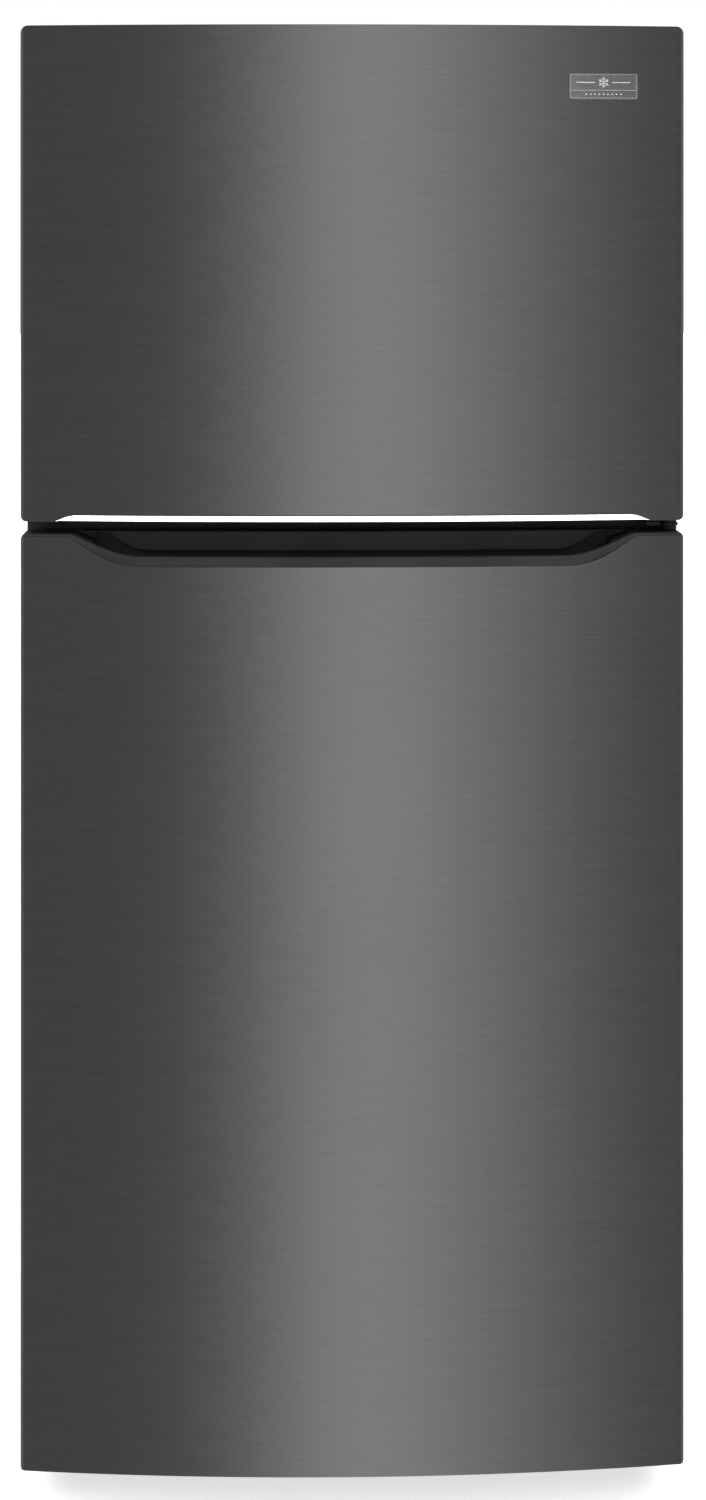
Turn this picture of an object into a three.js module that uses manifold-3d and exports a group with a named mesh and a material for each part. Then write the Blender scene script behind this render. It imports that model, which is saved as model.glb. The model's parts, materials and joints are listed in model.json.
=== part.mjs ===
// Top freezer refrigerator, in millimetres: X to the right, Y to the back, Z up.
// The origin is on the floor, under the middle of the whole refrigerator.
import * as THREE from 'three';
import { mergeVertices } from 'three/addons/utils/BufferGeometryUtils.js';
import Module from 'manifold-3d';

// ---------------------------------------------------------------- driving sizes
const DOOR_WIDTH = 756;
const DOOR_BOW = 26; // the middle of a door stands this far ahead of its side edges
const DOOR_EDGE_THICKNESS = 58;
const DOOR_BOTTOM_Z = 58;
const FRIDGE_DOOR_HEIGHT = 1063;
const DOOR_GAP = 14;
const FREEZER_DOOR_HEIGHT = 563;
const CASE_SIDE_STEP = 2; // each door stands this far past the side of the case
const CASE_TOP_STEP = 12; // the freezer door stands this far above the case
const CASE_DEPTH = 690;
const CASE_BOTTOM_Z = 30;
const GASKET_GAP = 9;

const FIT = 0.3; // between pieces that touch
const SLACK = 2; // between pieces that lift or slide out by hand

const SHEET = 1.2; // case steel
const SKIN = 1.2; // door steel
const LINER = 2; // vacuum-formed plastic
const MOULDED = 3; // bins and drawers

const SIDE_WALL = 52; // insulated wall beside the fresh food space
const FREEZER_WALL = 64;
const ROOF_WALL = 64;
const REAR_WALL = 62;
const FLOOR_WALL = 57;
const HALF_MULLION = 37;
const FACE_FLANGE = 42; // width of the steel face that the gaskets close on
const SILL_TOP_Z = 130;
const BASE_TOP_Z = 93;
const CASE_CORNER = 6;

const MACHINE_DEPTH = 250;
const MACHINE_TOP_Z = 290;
const HUMP_WALL = 45;
const HUMP_ROOF = 50;
const BASE_SIDE = 34; // width of a base rail and of the foam cheek above it

const DOOR_EDGE_ROUND = 6;
const TOP_CORNER = 9;
const GAP_CORNER = 7;
const FOOT_CORNER = 4;
const SKIN_FLANGE = 10;
const BOW_STEPS = 18;
const DYKE_DEPTH = 34;
const DYKE_WIDTH = 26;
const DYKE_FROM_CAVITY = 26; // the dyke stands this far inside the walls it enters

const CAP_RIM = 3;
const TOP_CAP_HEIGHT = 34;
const GRIP_CAP_HEIGHT = 34;
const FOOT_CAP_HEIGHT = 22;
const POCKET_CAP_HEIGHT = 54;

const POCKET_MARGIN = 51; // from the door's side to the opening in the fridge door's steel
const POCKET_RAMP = 80;
const POCKET_DROP = 33;
const LIP_THICKNESS = 10;
const LIP_MARGIN = 6; // from the steel's opening to the one that shows the scoop
const LIP_RAMP = 82;
const LIP_DROP = 24.5;
const SCOOP_MARGIN = 32;
const SCOOP_WIDTH = 38;
const SCOOP_DEPTH = 46;

const GRIP_MARGIN = 37; // from the door's side to the grip trim in the freezer door
const GRIP_RAMP = 26;
const GRIP_HEIGHT = 8.5;
const GRIP_THICKNESS = 6;
const GRIP_LEAN = 2.6;
const GRIP_SCOOP_MARGIN = 41;
const GRIP_SCOOP_WIDTH = 30;
const GRIP_SCOOP_DEPTH = 24;

const GASKET_WIDTH = 17;
const GASKET_INSET = 24; // from the door's side edge

const PIN_RADIUS = 4;
const PIN_PLAY = 0.6;
const PIN_INSET = 13; // from the door's side edge
const PIN_SETBACK = 30.5; // behind the door's front edge
const HINGE_PLATE = 3;
const CENTRE_PLATE = 4;
const HINGE_TAB = 2.5;
const HINGE_TONGUE = 8; // half the width of the top hinge where it enters the door
const HINGE_SPREAD = 40;
const HINGE_REACH = 75;
const NOTCH_SIDE = 25;
const NOTCH_FRONT = 19;
const NOTCH_DROP = 15;
const COVER_WALL = 1.5;
const COVER_BELOW_TOP = 1;

const BIN_PROTRUSION = 100; // the bins reach this far behind the door's rear face
const BIN_CORNER = 9;
const FREEZER_BIN_HEIGHT = 88;
const FRIDGE_BIN_HEIGHT = 108;
const DAIRY_HEIGHT = 88;
const DAIRY_LID = 4;
const LID_SWING_ROOM = 90;
const LID_PIN_GAP = 6; // the lid's pin stands this far behind the dyke, so that the open lid clears it

const SHELF_GLASS = 4;
const SHELF_TRIM_DEPTH = 16;
const SHELF_TRIM_HEIGHT = 18;
const SHELF_FRONT_GAP = 17; // from the door bins to the shelves
const LEDGE = 8;
const LEDGE_THICKNESS = 5;
const CRISPER_HEIGHT = 226;
const CRISPER_RUNNER = 6;
const CRISPER_FRONT = 6;
const CRISPER_CORNER = 16;
const COVER_FRAME = 22;
const COVER_FRAME_HEIGHT = 16;
const CENTRE_GAP = 16;
const CRISPER_SIDE_GAP = 12;
const CRISPER_REAR_GAP = 10;
const CRISPER_SETBACK = 12;
const RUNNER_WIDTH = 12;
const RUNNER_INSET = 36;

const CONTROL_HALF = 230;
const CONTROL_DEPTH = 190;
const CONTROL_HEIGHT = 56;
const CONTROL_SETBACK = 148;
const DIAL_RADIUS = 21;
const DIAL_DEPTH = 14;
const DIAL_RAISED = 2; // above the middle of the housing's face

const WIRE = 4;
const WIRE_COUNT = 13;

const RAIL_WALL = 2;
const RAIL_TOP_GAP = 0.3;
const ROLLER_RADIUS = 22;
const ROLLER_WIDTH = 20;
const ROLLER_FROM_REAR = 62;
const AXLE_RADIUS = 4;
const AXLE_PLAY = 0.4;
const LEG_FROM_FRONT = 80;
const LEG_PAD_RADIUS = 14;
const LEG_PAD_HEIGHT = 9;
const STUD_RADIUS = 5;
const STUD_PLAY = 0.4;
const NUT_HALF = 12;
const NUT_RISE = 24;
const NUT_HEIGHT = 14;

const GRILLE_THICKNESS = 12;
const GRILLE_SLOTS = 22;
const GRILLE_RIM = 8;

const COMPRESSOR_RADIUS = 74;
const COMPRESSOR_HEIGHT = 158;
const TRAY_Z = 62;
const TRAY_THICKNESS = 3;
const COIL_TUBE = 4;
const COIL_ROWS = 6;
const COIL_PITCH = 22;
const COIL_LENGTH = 170;
const PAN_HALF = 118;
const PAN_SIDE_GAP = 20;
const PAN_DEPTH = 150;
const PAN_HEIGHT = 26;
const COMPRESSOR_FOOT = 8; // the base plate stands this far past the pot
const COMPRESSOR_SEAM = 2;
const VENT_ROWS = 7; // the slots in the machine cover
const VENT_RISE = 50;
const VENT_PITCH = 22;
const VENT_HEIGHT = 8;
const VENT_MIDDLE = 40;
const VENT_MARGIN = 60;
const GROMMET_RADIUS = 9;
const GROMMET_INSET = 12;
const COMPRESSOR_SIDE_GAP = 40;
const FAN_RADIUS = 52;
const FAN_HUB = 15;
const FAN_DEPTH = 14;
const EVAPORATOR_DUCT = 76; // from the freezer's rear wall to the front of the cover
const COVER_THICKNESS = 3;
const EVAPORATOR_SIDE_ROOM = 97;
const EVAPORATOR_FINS = 9;
const RETURN_RIB = 6; // beside each slot of the return air row
const RETURN_RISE = 14;
const RETURN_HEIGHT = 8;

const BADGE_WIDTH = 80;
const BADGE_HEIGHT = 30;
const BADGE_FROM_EDGE = 54;
const BADGE_FROM_TOP = 54;
const BADGE_THICKNESS = 1.6;
const BADGE_CORNER = 3;

// ---------------------------------------------------------------- places worked out from them
const HALF_DOOR = DOOR_WIDTH / 2;
const HALF_CASE = HALF_DOOR - CASE_SIDE_STEP;
const DEPTH = DOOR_BOW + DOOR_EDGE_THICKNESS + GASKET_GAP + CASE_DEPTH;
const FRONT_Y = -DEPTH / 2;
const DOOR_EDGE_Y = FRONT_Y + DOOR_BOW;
const DOOR_REAR_Y = DOOR_EDGE_Y + DOOR_EDGE_THICKNESS;
const CASE_FRONT_Y = DOOR_REAR_Y + GASKET_GAP;
const CASE_REAR_Y = DEPTH / 2;
const FRIDGE_TOP_Z = DOOR_BOTTOM_Z + FRIDGE_DOOR_HEIGHT;
const FREEZER_BOTTOM_Z = FRIDGE_TOP_Z + DOOR_GAP;
const FREEZER_TOP_Z = FREEZER_BOTTOM_Z + FREEZER_DOOR_HEIGHT;
const CASE_TOP_Z = FREEZER_TOP_Z - CASE_TOP_STEP;
const MULLION_Z = FRIDGE_TOP_Z + DOOR_GAP / 2;

const FRESH_HALF = HALF_CASE - SIDE_WALL;
const FRESH_FLOOR_Z = BASE_TOP_Z + FLOOR_WALL + LINER;
const FRESH_ROOF_Z = MULLION_Z - HALF_MULLION;
const FREEZER_HALF = HALF_CASE - FREEZER_WALL;
const FREEZER_FLOOR_Z = MULLION_Z + HALF_MULLION;
const FREEZER_ROOF_Z = CASE_TOP_Z - ROOF_WALL;
const CAVITY_REAR_Y = CASE_REAR_Y - REAR_WALL;
const MACHINE_FRONT_Y = CASE_REAR_Y - MACHINE_DEPTH;
const HUMP_FRONT_Y = MACHINE_FRONT_Y - HUMP_WALL;
const HUMP_TOP_Z = MACHINE_TOP_Z + HUMP_ROOF;
const FACE_HALF = HALF_CASE - FACE_FLANGE;
const RAIL_OUTER_X = HALF_CASE - SHEET - FIT;
const RAIL_INNER_X = RAIL_OUTER_X - BASE_SIDE;

const PIN_X = HALF_DOOR - PIN_INSET;
const PIN_Y = DOOR_EDGE_Y + PIN_SETBACK;
const PIN_HOLE = PIN_RADIUS + PIN_PLAY;
const BIN_REAR_Y = DOOR_REAR_Y + BIN_PROTRUSION;
const SHELF_FRONT_Y = BIN_REAR_Y + SHELF_FRONT_GAP;
const BOW_RADIUS = (HALF_DOOR ** 2 + DOOR_BOW ** 2) / (2 * DOOR_BOW);
const BOW_CENTRE_Y = FRONT_Y + BOW_RADIUS;
const CRISPER_TOP_Z = FRESH_FLOOR_Z + CRISPER_RUNNER + CRISPER_HEIGHT;
const COVER_TOP_Z = CRISPER_TOP_Z + SLACK + COVER_FRAME_HEIGHT;
const CONTROL_BOTTOM_Z = FRESH_ROOF_Z - FIT - CONTROL_HEIGHT;
const SHELF_STEP = (CONTROL_BOTTOM_Z - COVER_TOP_Z) / 3;
const SHELF_LEVELS = [COVER_TOP_Z + SHELF_STEP, COVER_TOP_Z + 2 * SHELF_STEP];
const DUCT_FRONT_Y = CAVITY_REAR_Y - EVAPORATOR_DUCT;
const POCKET_MOUTH = HALF_DOOR - POCKET_MARGIN; // half widths, from the door's middle
const POCKET_FLOOR = POCKET_MOUTH - POCKET_RAMP;
const LIP_MOUTH = POCKET_MOUTH - LIP_MARGIN;
const LIP_FLOOR = LIP_MOUTH - LIP_RAMP;
const SCOOP_HALF = POCKET_MOUTH - SCOOP_MARGIN;
const GRIP_MOUTH = HALF_DOOR - GRIP_MARGIN;
const GRIP_FLOOR = GRIP_MOUTH - GRIP_RAMP;
const GRIP_SCOOP_HALF = GRIP_MOUTH - GRIP_SCOOP_MARGIN;
const EVAPORATOR_HALF = FREEZER_HALF - EVAPORATOR_SIDE_ROOM;
const FREEZER_SHELF_Z = (FREEZER_FLOOR_Z + FREEZER_ROOF_Z) / 2 - WIRE;
const CRISPER_X = [CENTRE_GAP / 2, FRESH_HALF - CRISPER_SIDE_GAP];
const CRISPER_Y = [SHELF_FRONT_Y + CRISPER_SETBACK, HUMP_FRONT_Y - CRISPER_REAR_GAP];
const CRISPER_LOW_Z = FRESH_FLOOR_Z + CRISPER_RUNNER;
const CASE_ROOF_Z = CASE_TOP_Z - SHEET - CASE_CORNER / 3; // underside of the case's top

// ---------------------------------------------------------------- solids
const wasm = await Module();
wasm.setup();

function solid(geometry) {
  const bare = geometry.clone();
  bare.deleteAttribute('normal');
  bare.deleteAttribute('uv');
  const merged = mergeVertices(bare, 1e-4);
  return new wasm.Manifold(new wasm.Mesh({
    numProp: 3,
    vertProperties: new Float32Array(merged.attributes.position.array),
    triVerts: new Uint32Array(merged.index.array),
  }));
}

function join(first, ...others) {
  return others.reduce((all, other) => all.add(other), first);
}

function cut(first, ...others) {
  return others.reduce((left, other) => left.subtract(other), first);
}

function geometryOf(made) {
  const mesh = made.getMesh();
  const geometry = new THREE.BufferGeometry();
  geometry.setAttribute('position', new THREE.BufferAttribute(new Float32Array(mesh.vertProperties), 3));
  geometry.setIndex(new THREE.BufferAttribute(new Uint32Array(mesh.triVerts), 1));
  const flat = geometry.toNonIndexed();
  flat.computeVertexNormals();
  return flat;
}

// A block between two values on each axis, given in either order.
function block(x, y, z) {
  const geometry = new THREE.BoxGeometry(
    Math.abs(x[1] - x[0]), Math.abs(y[1] - y[0]), Math.abs(z[1] - z[0]));
  geometry.translate((x[0] + x[1]) / 2, (y[0] + y[1]) / 2, (z[0] + z[1]) / 2);
  return solid(geometry);
}

const ALONG = {
  x: new THREE.Matrix4().set(0, 0, 1, 0, 1, 0, 0, 0, 0, 1, 0, 0, 0, 0, 0, 1),
  y: new THREE.Matrix4().set(1, 0, 0, 0, 0, 0, -1, 0, 0, 1, 0, 0, 0, 0, 0, 1),
  z: new THREE.Matrix4(),
};

// A shape pushed along an axis. It is drawn in (y, z) for x, in (x, z) for y, and in (x, y) for z.
function prism(shape, axis, from, to, curveSegments = 3) {
  const geometry = new THREE.ExtrudeGeometry(shape, {
    depth: Math.abs(to - from), bevelEnabled: false, curveSegments,
  });
  geometry.translate(0, 0, axis === 'y' ? -Math.max(from, to) : Math.min(from, to));
  geometry.applyMatrix4(ALONG[axis]);
  return solid(geometry);
}

function polygon(points) {
  return new THREE.Shape(points.map(([a, b]) => new THREE.Vector2(a, b)));
}

// A round bar along an axis. at holds its centre in the two other axes, in x, y, z order.
function bar(axis, radius, from, to, at, sides = 16) {
  const geometry = new THREE.CylinderGeometry(radius, radius, Math.abs(to - from), sides);
  const middle = (from + to) / 2;
  if (axis === 'x') geometry.rotateZ(Math.PI / 2).translate(middle, at[0], at[1]);
  if (axis === 'y') geometry.translate(at[0], middle, at[1]);
  if (axis === 'z') geometry.rotateX(Math.PI / 2).translate(at[0], at[1], middle);
  return solid(geometry);
}

function roundedRect(x0, x1, y0, y1, r) {
  const shape = new THREE.Shape();
  shape.moveTo(x0 + r, y0).lineTo(x1 - r, y0);
  shape.absarc(x1 - r, y0 + r, r, -Math.PI / 2, 0, false);
  shape.lineTo(x1, y1 - r);
  shape.absarc(x1 - r, y1 - r, r, 0, Math.PI / 2, false);
  shape.lineTo(x0 + r, y1);
  shape.absarc(x0 + r, y1 - r, r, Math.PI / 2, Math.PI, false);
  shape.lineTo(x0, y0 + r);
  shape.absarc(x0 + r, y0 + r, r, Math.PI, 1.5 * Math.PI, false);
  return shape;
}

// A tube along a line of points, with one ring of sides at each point.
class Route extends THREE.Curve {
  constructor(points) {
    super();
    this.points = points;
  }
  getPoint(t, target = new THREE.Vector3()) {
    const place = Math.min(Math.max(t, 0), 1) * (this.points.length - 1);
    const index = Math.min(Math.floor(place), this.points.length - 2);
    return target.copy(this.points[index]).lerp(this.points[index + 1], place - index);
  }
  getUtoTmapping(u) {
    return u;
  }
}

function tube(points, radius, sides = 8) {
  const ring = [];
  for (let i = 0; i < sides; i++) {
    const turn = (2 * Math.PI * i) / sides;
    ring.push([radius * Math.cos(turn), radius * Math.sin(turn)]);
  }
  const geometry = new THREE.ExtrudeGeometry(polygon(ring), {
    steps: points.length - 1, extrudePath: new Route(points), bevelEnabled: false,
  });
  return solid(geometry);
}

// Straight rows joined by half-round bends: rows lie along one axis and are stacked along another.
function serpentine(rows, length, pitch, bendSteps, place) {
  const points = [];
  for (let row = 0; row < rows; row++) {
    const right = row % 2 === 0 ? 1 : -1;
    points.push(place((-right * length) / 2, row * pitch));
    points.push(place((right * length) / 2, row * pitch));
    for (let i = 1; i < bendSteps && row < rows - 1; i++) {
      const turn = (Math.PI * i) / bendSteps;
      const out = (right * length) / 2 + (right * Math.sin(turn) * pitch) / 2;
      points.push(place(out, (row + 0.5) * pitch - (Math.cos(turn) * pitch) / 2));
    }
  }
  return points;
}

// ---------------------------------------------------------------- door forms
const DOORS = {
  freezer: { bottom: FREEZER_BOTTOM_Z, top: FREEZER_TOP_Z, lowCorner: GAP_CORNER, highCorner: TOP_CORNER },
  fridge: { bottom: DOOR_BOTTOM_Z, top: FRIDGE_TOP_Z, lowCorner: FOOT_CORNER, highCorner: GAP_CORNER },
};

function bowY(x, inset) {
  return BOW_CENTRE_Y - Math.sqrt((BOW_RADIUS - inset) ** 2 - x ** 2);
}

// The bowed front from the left side to the right, with rounded vertical edges.
function frontLine(inset) {
  const half = HALF_DOOR - inset;
  const start = half - DOOR_EDGE_ROUND;
  const edgeY = bowY(half, inset);
  const left = new THREE.QuadraticBezierCurve(
    new THREE.Vector2(-half, edgeY + DOOR_EDGE_ROUND),
    new THREE.Vector2(-half, edgeY), new THREE.Vector2(-start, bowY(start, inset)));
  const line = left.getPoints(3).map((p) => [p.x, p.y]);
  for (let i = 1; i < BOW_STEPS; i++) {
    const x = -start + (2 * start * i) / BOW_STEPS;
    line.push([x, bowY(x, inset)]);
  }
  const right = left.getPoints(3).map((p) => [-p.x, p.y]).reverse();
  return line.concat(right);
}

function doorPlan(inset, rearY) {
  const half = HALF_DOOR - inset;
  return polygon([[-half, rearY], ...frontLine(inset), [half, rearY]].reverse());
}

// A bowed band between two depths behind the front, as wide as half on each side.
function bowBand(half, near, far, z) {
  const steps = BOW_STEPS;
  const at = (inset, i) => {
    const x = -half + (2 * half * i) / steps;
    return [x, bowY(x, inset)];
  };
  const front = [];
  const back = [];
  for (let i = 0; i <= steps; i++) {
    front.push(at(near, i));
    back.push(at(far, steps - i));
  }
  return prism(polygon([...front, ...back]), 'z', z[0], z[1]);
}

// The outline of a door seen from the front, with its rounded corners.
function doorElevation(door, inset) {
  const half = HALF_DOOR - inset;
  const low = door.lowCorner;
  const high = door.highCorner;
  const shape = new THREE.Shape();
  shape.moveTo(-half + low, door.bottom).lineTo(half - low, door.bottom);
  shape.absarc(half - low, door.bottom + low, low, -Math.PI / 2, 0, false);
  shape.lineTo(half, door.top - high);
  shape.absarc(half - high, door.top - high, high, 0, Math.PI / 2, false);
  shape.lineTo(-half + high, door.top);
  shape.absarc(-half + high, door.top - high, high, Math.PI / 2, Math.PI, false);
  shape.lineTo(-half, door.bottom + low);
  shape.absarc(-half + low, door.bottom + low, low, Math.PI, 1.5 * Math.PI, false);
  return shape;
}

// The whole form of a door between two heights, inset from its front and sides.
function doorForm(door, inset, rearY, z) {
  const form = prism(doorPlan(inset, rearY), 'z', z[0], z[1]);
  return form.intersect(prism(doorElevation(door, inset), 'y', FRONT_Y - 1, rearY + 1, 4));
}

// An opening whose sides run in a smooth S from its mouth to its floor.
function sOpening(mouth, floor, mouthZ, floorZ, past) {
  const run = mouth - floor;
  const outZ = mouthZ + past;
  const shape = new THREE.Shape();
  shape.moveTo(-mouth, mouthZ);
  shape.bezierCurveTo(-mouth + 0.12 * run, mouthZ, -mouth + 0.5 * run, floorZ, -floor, floorZ);
  shape.lineTo(floor, floorZ);
  shape.bezierCurveTo(mouth - 0.5 * run, floorZ, mouth - 0.12 * run, mouthZ, mouth, mouthZ);
  shape.lineTo(mouth, outZ).lineTo(-mouth, outZ);
  return shape;
}

function opening(mouth, floor, mouthZ, floorZ, past, y, segments = 7) {
  const points = sOpening(mouth, floor, mouthZ, floorZ, past).getPoints(segments);
  const turned = THREE.ShapeUtils.isClockWise(points) ? points.reverse() : points;
  return prism(new THREE.Shape(turned), 'y', y[0], y[1]);
}

function doorSkin(door, topZ) {
  const z = [door.bottom, topZ];
  const inner = prism(doorPlan(SKIN, DOOR_REAR_Y - SKIN), 'z', door.bottom - 1, topZ + 1);
  const windowHalf = HALF_DOOR - SKIN_FLANGE;
  const rear = block(
    [-windowHalf, windowHalf], [DOOR_REAR_Y - 2 * SKIN, DOOR_REAR_Y + 1], [z[0] - 1, z[1] + 1]);
  return cut(doorForm(door, 0, DOOR_REAR_Y, z), inner, rear);
}

// The raised ring on the inside of a door. inset shrinks it for the foam that fills it.
function dyke(space, inset, fromY) {
  const outer = { half: space.half - inset, low: space.low + inset, high: space.high - inset };
  const width = DYKE_WIDTH - 2 * inset;
  const y = [fromY, DOOR_REAR_Y + DYKE_DEPTH - inset];
  const ring = block([-outer.half, outer.half], y, [outer.low, outer.high]);
  const inner = block(
    [-outer.half + width, outer.half - width], [y[0] - 1, y[1] + 1],
    [outer.low + width, outer.high - width]);
  return cut(ring, inner);
}

const DYKES = {
  freezer: {
    half: FREEZER_HALF - DYKE_FROM_CAVITY,
    low: FREEZER_FLOOR_Z + DYKE_FROM_CAVITY,
    high: FREEZER_ROOF_Z - DYKE_FROM_CAVITY,
  },
  fridge: {
    half: FRESH_HALF - DYKE_FROM_CAVITY,
    low: FRESH_FLOOR_Z + DYKE_FROM_CAVITY,
    high: FRESH_ROOF_Z - DYKE_FROM_CAVITY,
  },
};

function doorLiner(space, z) {
  const half = HALF_DOOR - SKIN_FLANGE - 2 * FIT;
  const plate = block([-half, half], [DOOR_REAR_Y - LINER, DOOR_REAR_Y], z);
  return cut(join(plate, dyke(space, 0, DOOR_REAR_Y - LINER)), dyke(space, LINER, DOOR_REAR_Y - 2 * LINER));
}

function doorFoam(door, space, z) {
  const rearY = DOOR_REAR_Y - LINER - FIT;
  return join(doorForm(door, SKIN + FIT, rearY, z), dyke(space, LINER + FIT, rearY - 1));
}

function gasket(z) {
  const outer = HALF_DOOR - GASKET_INSET;
  const inner = outer - GASKET_WIDTH;
  const y = [DOOR_REAR_Y + FIT, CASE_FRONT_Y - FIT];
  const ring = block([-outer, outer], y, z);
  const hole = block([-inner, inner], [y[0] - 1, y[1] + 1], [z[0] + GASKET_WIDTH, z[1] - GASKET_WIDTH]);
  return cut(ring, hole);
}

function capBlank(door, z) {
  return doorForm(door, SKIN + FIT, DOOR_REAR_Y - LINER - FIT, z);
}

function pinHole(z) {
  return bar('z', PIN_HOLE, z[0], z[1], [PIN_X, PIN_Y]);
}

// An open-topped tray with rounded upright corners.
function tray(x, y, z, wall, corner) {
  const outer = prism(roundedRect(x[0], x[1], y[0], y[1], corner), 'z', z[0], z[1]);
  const inside = roundedRect(x[0] + wall, x[1] - wall, y[0] + wall, y[1] - wall, corner - wall);
  return cut(outer, prism(inside, 'z', z[0] + wall, z[1] + 1));
}

// ---------------------------------------------------------------- freezer door
const NOTCH_FLOOR_Z = FREEZER_TOP_Z - NOTCH_DROP;
const FREEZER_LINER_Z = [FREEZER_BOTTOM_Z + 4, NOTCH_FLOOR_Z - SLACK];
const FREEZER_GASKET_Z = [FREEZER_BOTTOM_Z + 4, NOTCH_FLOOR_Z - 7];
const FRIDGE_LINER_Z = [DOOR_BOTTOM_Z + 4, FRIDGE_TOP_Z - 2];
const FRIDGE_GASKET_Z = [BASE_TOP_Z + 7, FRIDGE_TOP_Z - 3];

function hingeNotch() {
  return block(
    [PIN_X - NOTCH_SIDE, HALF_DOOR + 1], [PIN_Y - NOTCH_FRONT, DOOR_REAR_Y + 1],
    [NOTCH_FLOOR_Z, FREEZER_TOP_Z + 1]);
}

function gripOpening(clearance) {
  return opening(
    GRIP_MOUTH - clearance, GRIP_FLOOR - clearance, FREEZER_BOTTOM_Z,
    FREEZER_BOTTOM_Z + GRIP_HEIGHT - clearance, -2, [FRONT_Y - 2, DOOR_EDGE_Y + DOOR_EDGE_THICKNESS / 2], 5);
}

function freezerSkin() {
  return cut(doorSkin(DOORS.freezer, FREEZER_TOP_Z), gripOpening(0), hingeNotch());
}

function gripTrim() {
  const z = [FREEZER_BOTTOM_Z + FIT, FREEZER_BOTTOM_Z + GRIP_HEIGHT];
  const band = bowBand(GRIP_MOUTH, FIT, GRIP_THICKNESS, z);
  const leaning = geometryOf(band);
  const place = leaning.getAttribute('position');
  for (let i = 0; i < place.count; i++) {
    const low = (z[1] - place.getZ(i)) / (z[1] - z[0]);
    place.setY(i, place.getY(i) + GRIP_LEAN * low);
  }
  return solid(leaning).intersect(gripOpening(FIT));
}

function freezerTopCap() {
  const z = [FREEZER_TOP_Z - TOP_CAP_HEIGHT, FREEZER_TOP_Z - FIT];
  return cut(capBlank(DOORS.freezer, z), hingeNotch(), pinHole([z[0] + 8, z[1]]));
}

function freezerBottomCap() {
  const z = [FREEZER_BOTTOM_Z + FIT, FREEZER_BOTTOM_Z + GRIP_CAP_HEIGHT];
  const trimRoom = bowBand(
    GRIP_MOUTH + FIT, -1, GRIP_THICKNESS + GRIP_LEAN + 1,
    [FREEZER_BOTTOM_Z - 1, FREEZER_BOTTOM_Z + GRIP_HEIGHT + FIT]);
  const near = GRIP_THICKNESS + GRIP_LEAN + 6;
  const scoop = bowBand(
    GRIP_SCOOP_HALF, near, near + GRIP_SCOOP_WIDTH,
    [FREEZER_BOTTOM_Z - 1, FREEZER_BOTTOM_Z + GRIP_SCOOP_DEPTH]);
  return cut(capBlank(DOORS.freezer, z), trimRoom, scoop, pinHole([z[0] - 1, z[0] + 20]));
}

function freezerFoam() {
  const z = [FREEZER_BOTTOM_Z + GRIP_CAP_HEIGHT + FIT, FREEZER_TOP_Z - TOP_CAP_HEIGHT - FIT];
  return doorFoam(DOORS.freezer, DYKES.freezer, z);
}

function bin(space, lowZ, height) {
  const half = space.half - DYKE_WIDTH - SLACK;
  return tray(
    [-half, half], [DOOR_REAR_Y + SLACK, BIN_REAR_Y], [lowZ, lowZ + height], MOULDED, BIN_CORNER);
}

// ---------------------------------------------------------------- fridge door
const SKIN_TOP_Z = FRIDGE_TOP_Z - CAP_RIM;

function pocketOpening(clearance) {
  return opening(
    POCKET_MOUTH - clearance, POCKET_FLOOR - clearance, SKIN_TOP_Z, SKIN_TOP_Z - POCKET_DROP + clearance,
    CAP_RIM + 2, [FRONT_Y - 2, DOOR_EDGE_Y + DOOR_EDGE_THICKNESS / 2]);
}

function fridgeSkin() {
  return cut(doorSkin(DOORS.fridge, SKIN_TOP_Z), pocketOpening(0));
}

function fridgeTopCap() {
  const lowZ = FRIDGE_TOP_Z - POCKET_CAP_HEIGHT;
  const body = capBlank(DOORS.fridge, [lowZ, FRIDGE_TOP_Z]);
  const rim = doorForm(DOORS.fridge, 0, DOOR_REAR_Y - LINER - FIT, [SKIN_TOP_Z + FIT, FRIDGE_TOP_Z]);
  const lip = doorForm(DOORS.fridge, FIT, DOOR_EDGE_Y + LIP_THICKNESS, [lowZ, FRIDGE_TOP_Z])
    .intersect(pocketOpening(FIT));
  const view = opening(
    LIP_MOUTH, LIP_FLOOR, FRIDGE_TOP_Z, FRIDGE_TOP_Z - LIP_DROP, 2,
    [FRONT_Y - 2, DOOR_EDGE_Y + LIP_THICKNESS / 2]);
  const scoop = bowBand(
    SCOOP_HALF, LIP_THICKNESS, LIP_THICKNESS + SCOOP_WIDTH, [FRIDGE_TOP_Z - SCOOP_DEPTH, FRIDGE_TOP_Z + 1]);
  const front = bowBand(LIP_MOUTH + 2, -2, LIP_THICKNESS + 1, [lowZ, FRIDGE_TOP_Z + 3]);
  return cut(
    join(body, rim, lip), scoop, view.intersect(front),
    pinHole([FRIDGE_TOP_Z - 20, FRIDGE_TOP_Z + 1]));
}

function fridgeBottomCap() {
  const z = [DOOR_BOTTOM_Z + 1, DOOR_BOTTOM_Z + FOOT_CAP_HEIGHT];
  return cut(capBlank(DOORS.fridge, z), pinHole([z[0] - 1, z[0] + 19]));
}

function fridgeFoam() {
  const z = [DOOR_BOTTOM_Z + FOOT_CAP_HEIGHT + FIT, FRIDGE_TOP_Z - POCKET_CAP_HEIGHT - FIT];
  return doorFoam(DOORS.fridge, DYKES.fridge, z);
}

const DAIRY_TOP_Z = FRESH_ROOF_Z - LID_SWING_ROOM;
const DAIRY_LOW_Z = DAIRY_TOP_Z - DAIRY_HEIGHT;
const LOW_BIN_Z = DYKES.fridge.low + DYKE_WIDTH + SLACK;
const MIDDLE_BIN_Z = (LOW_BIN_Z + DAIRY_LOW_Z) / 2;
const LID_PIN_Y = DOOR_REAR_Y + DYKE_DEPTH + LID_PIN_GAP;

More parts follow.
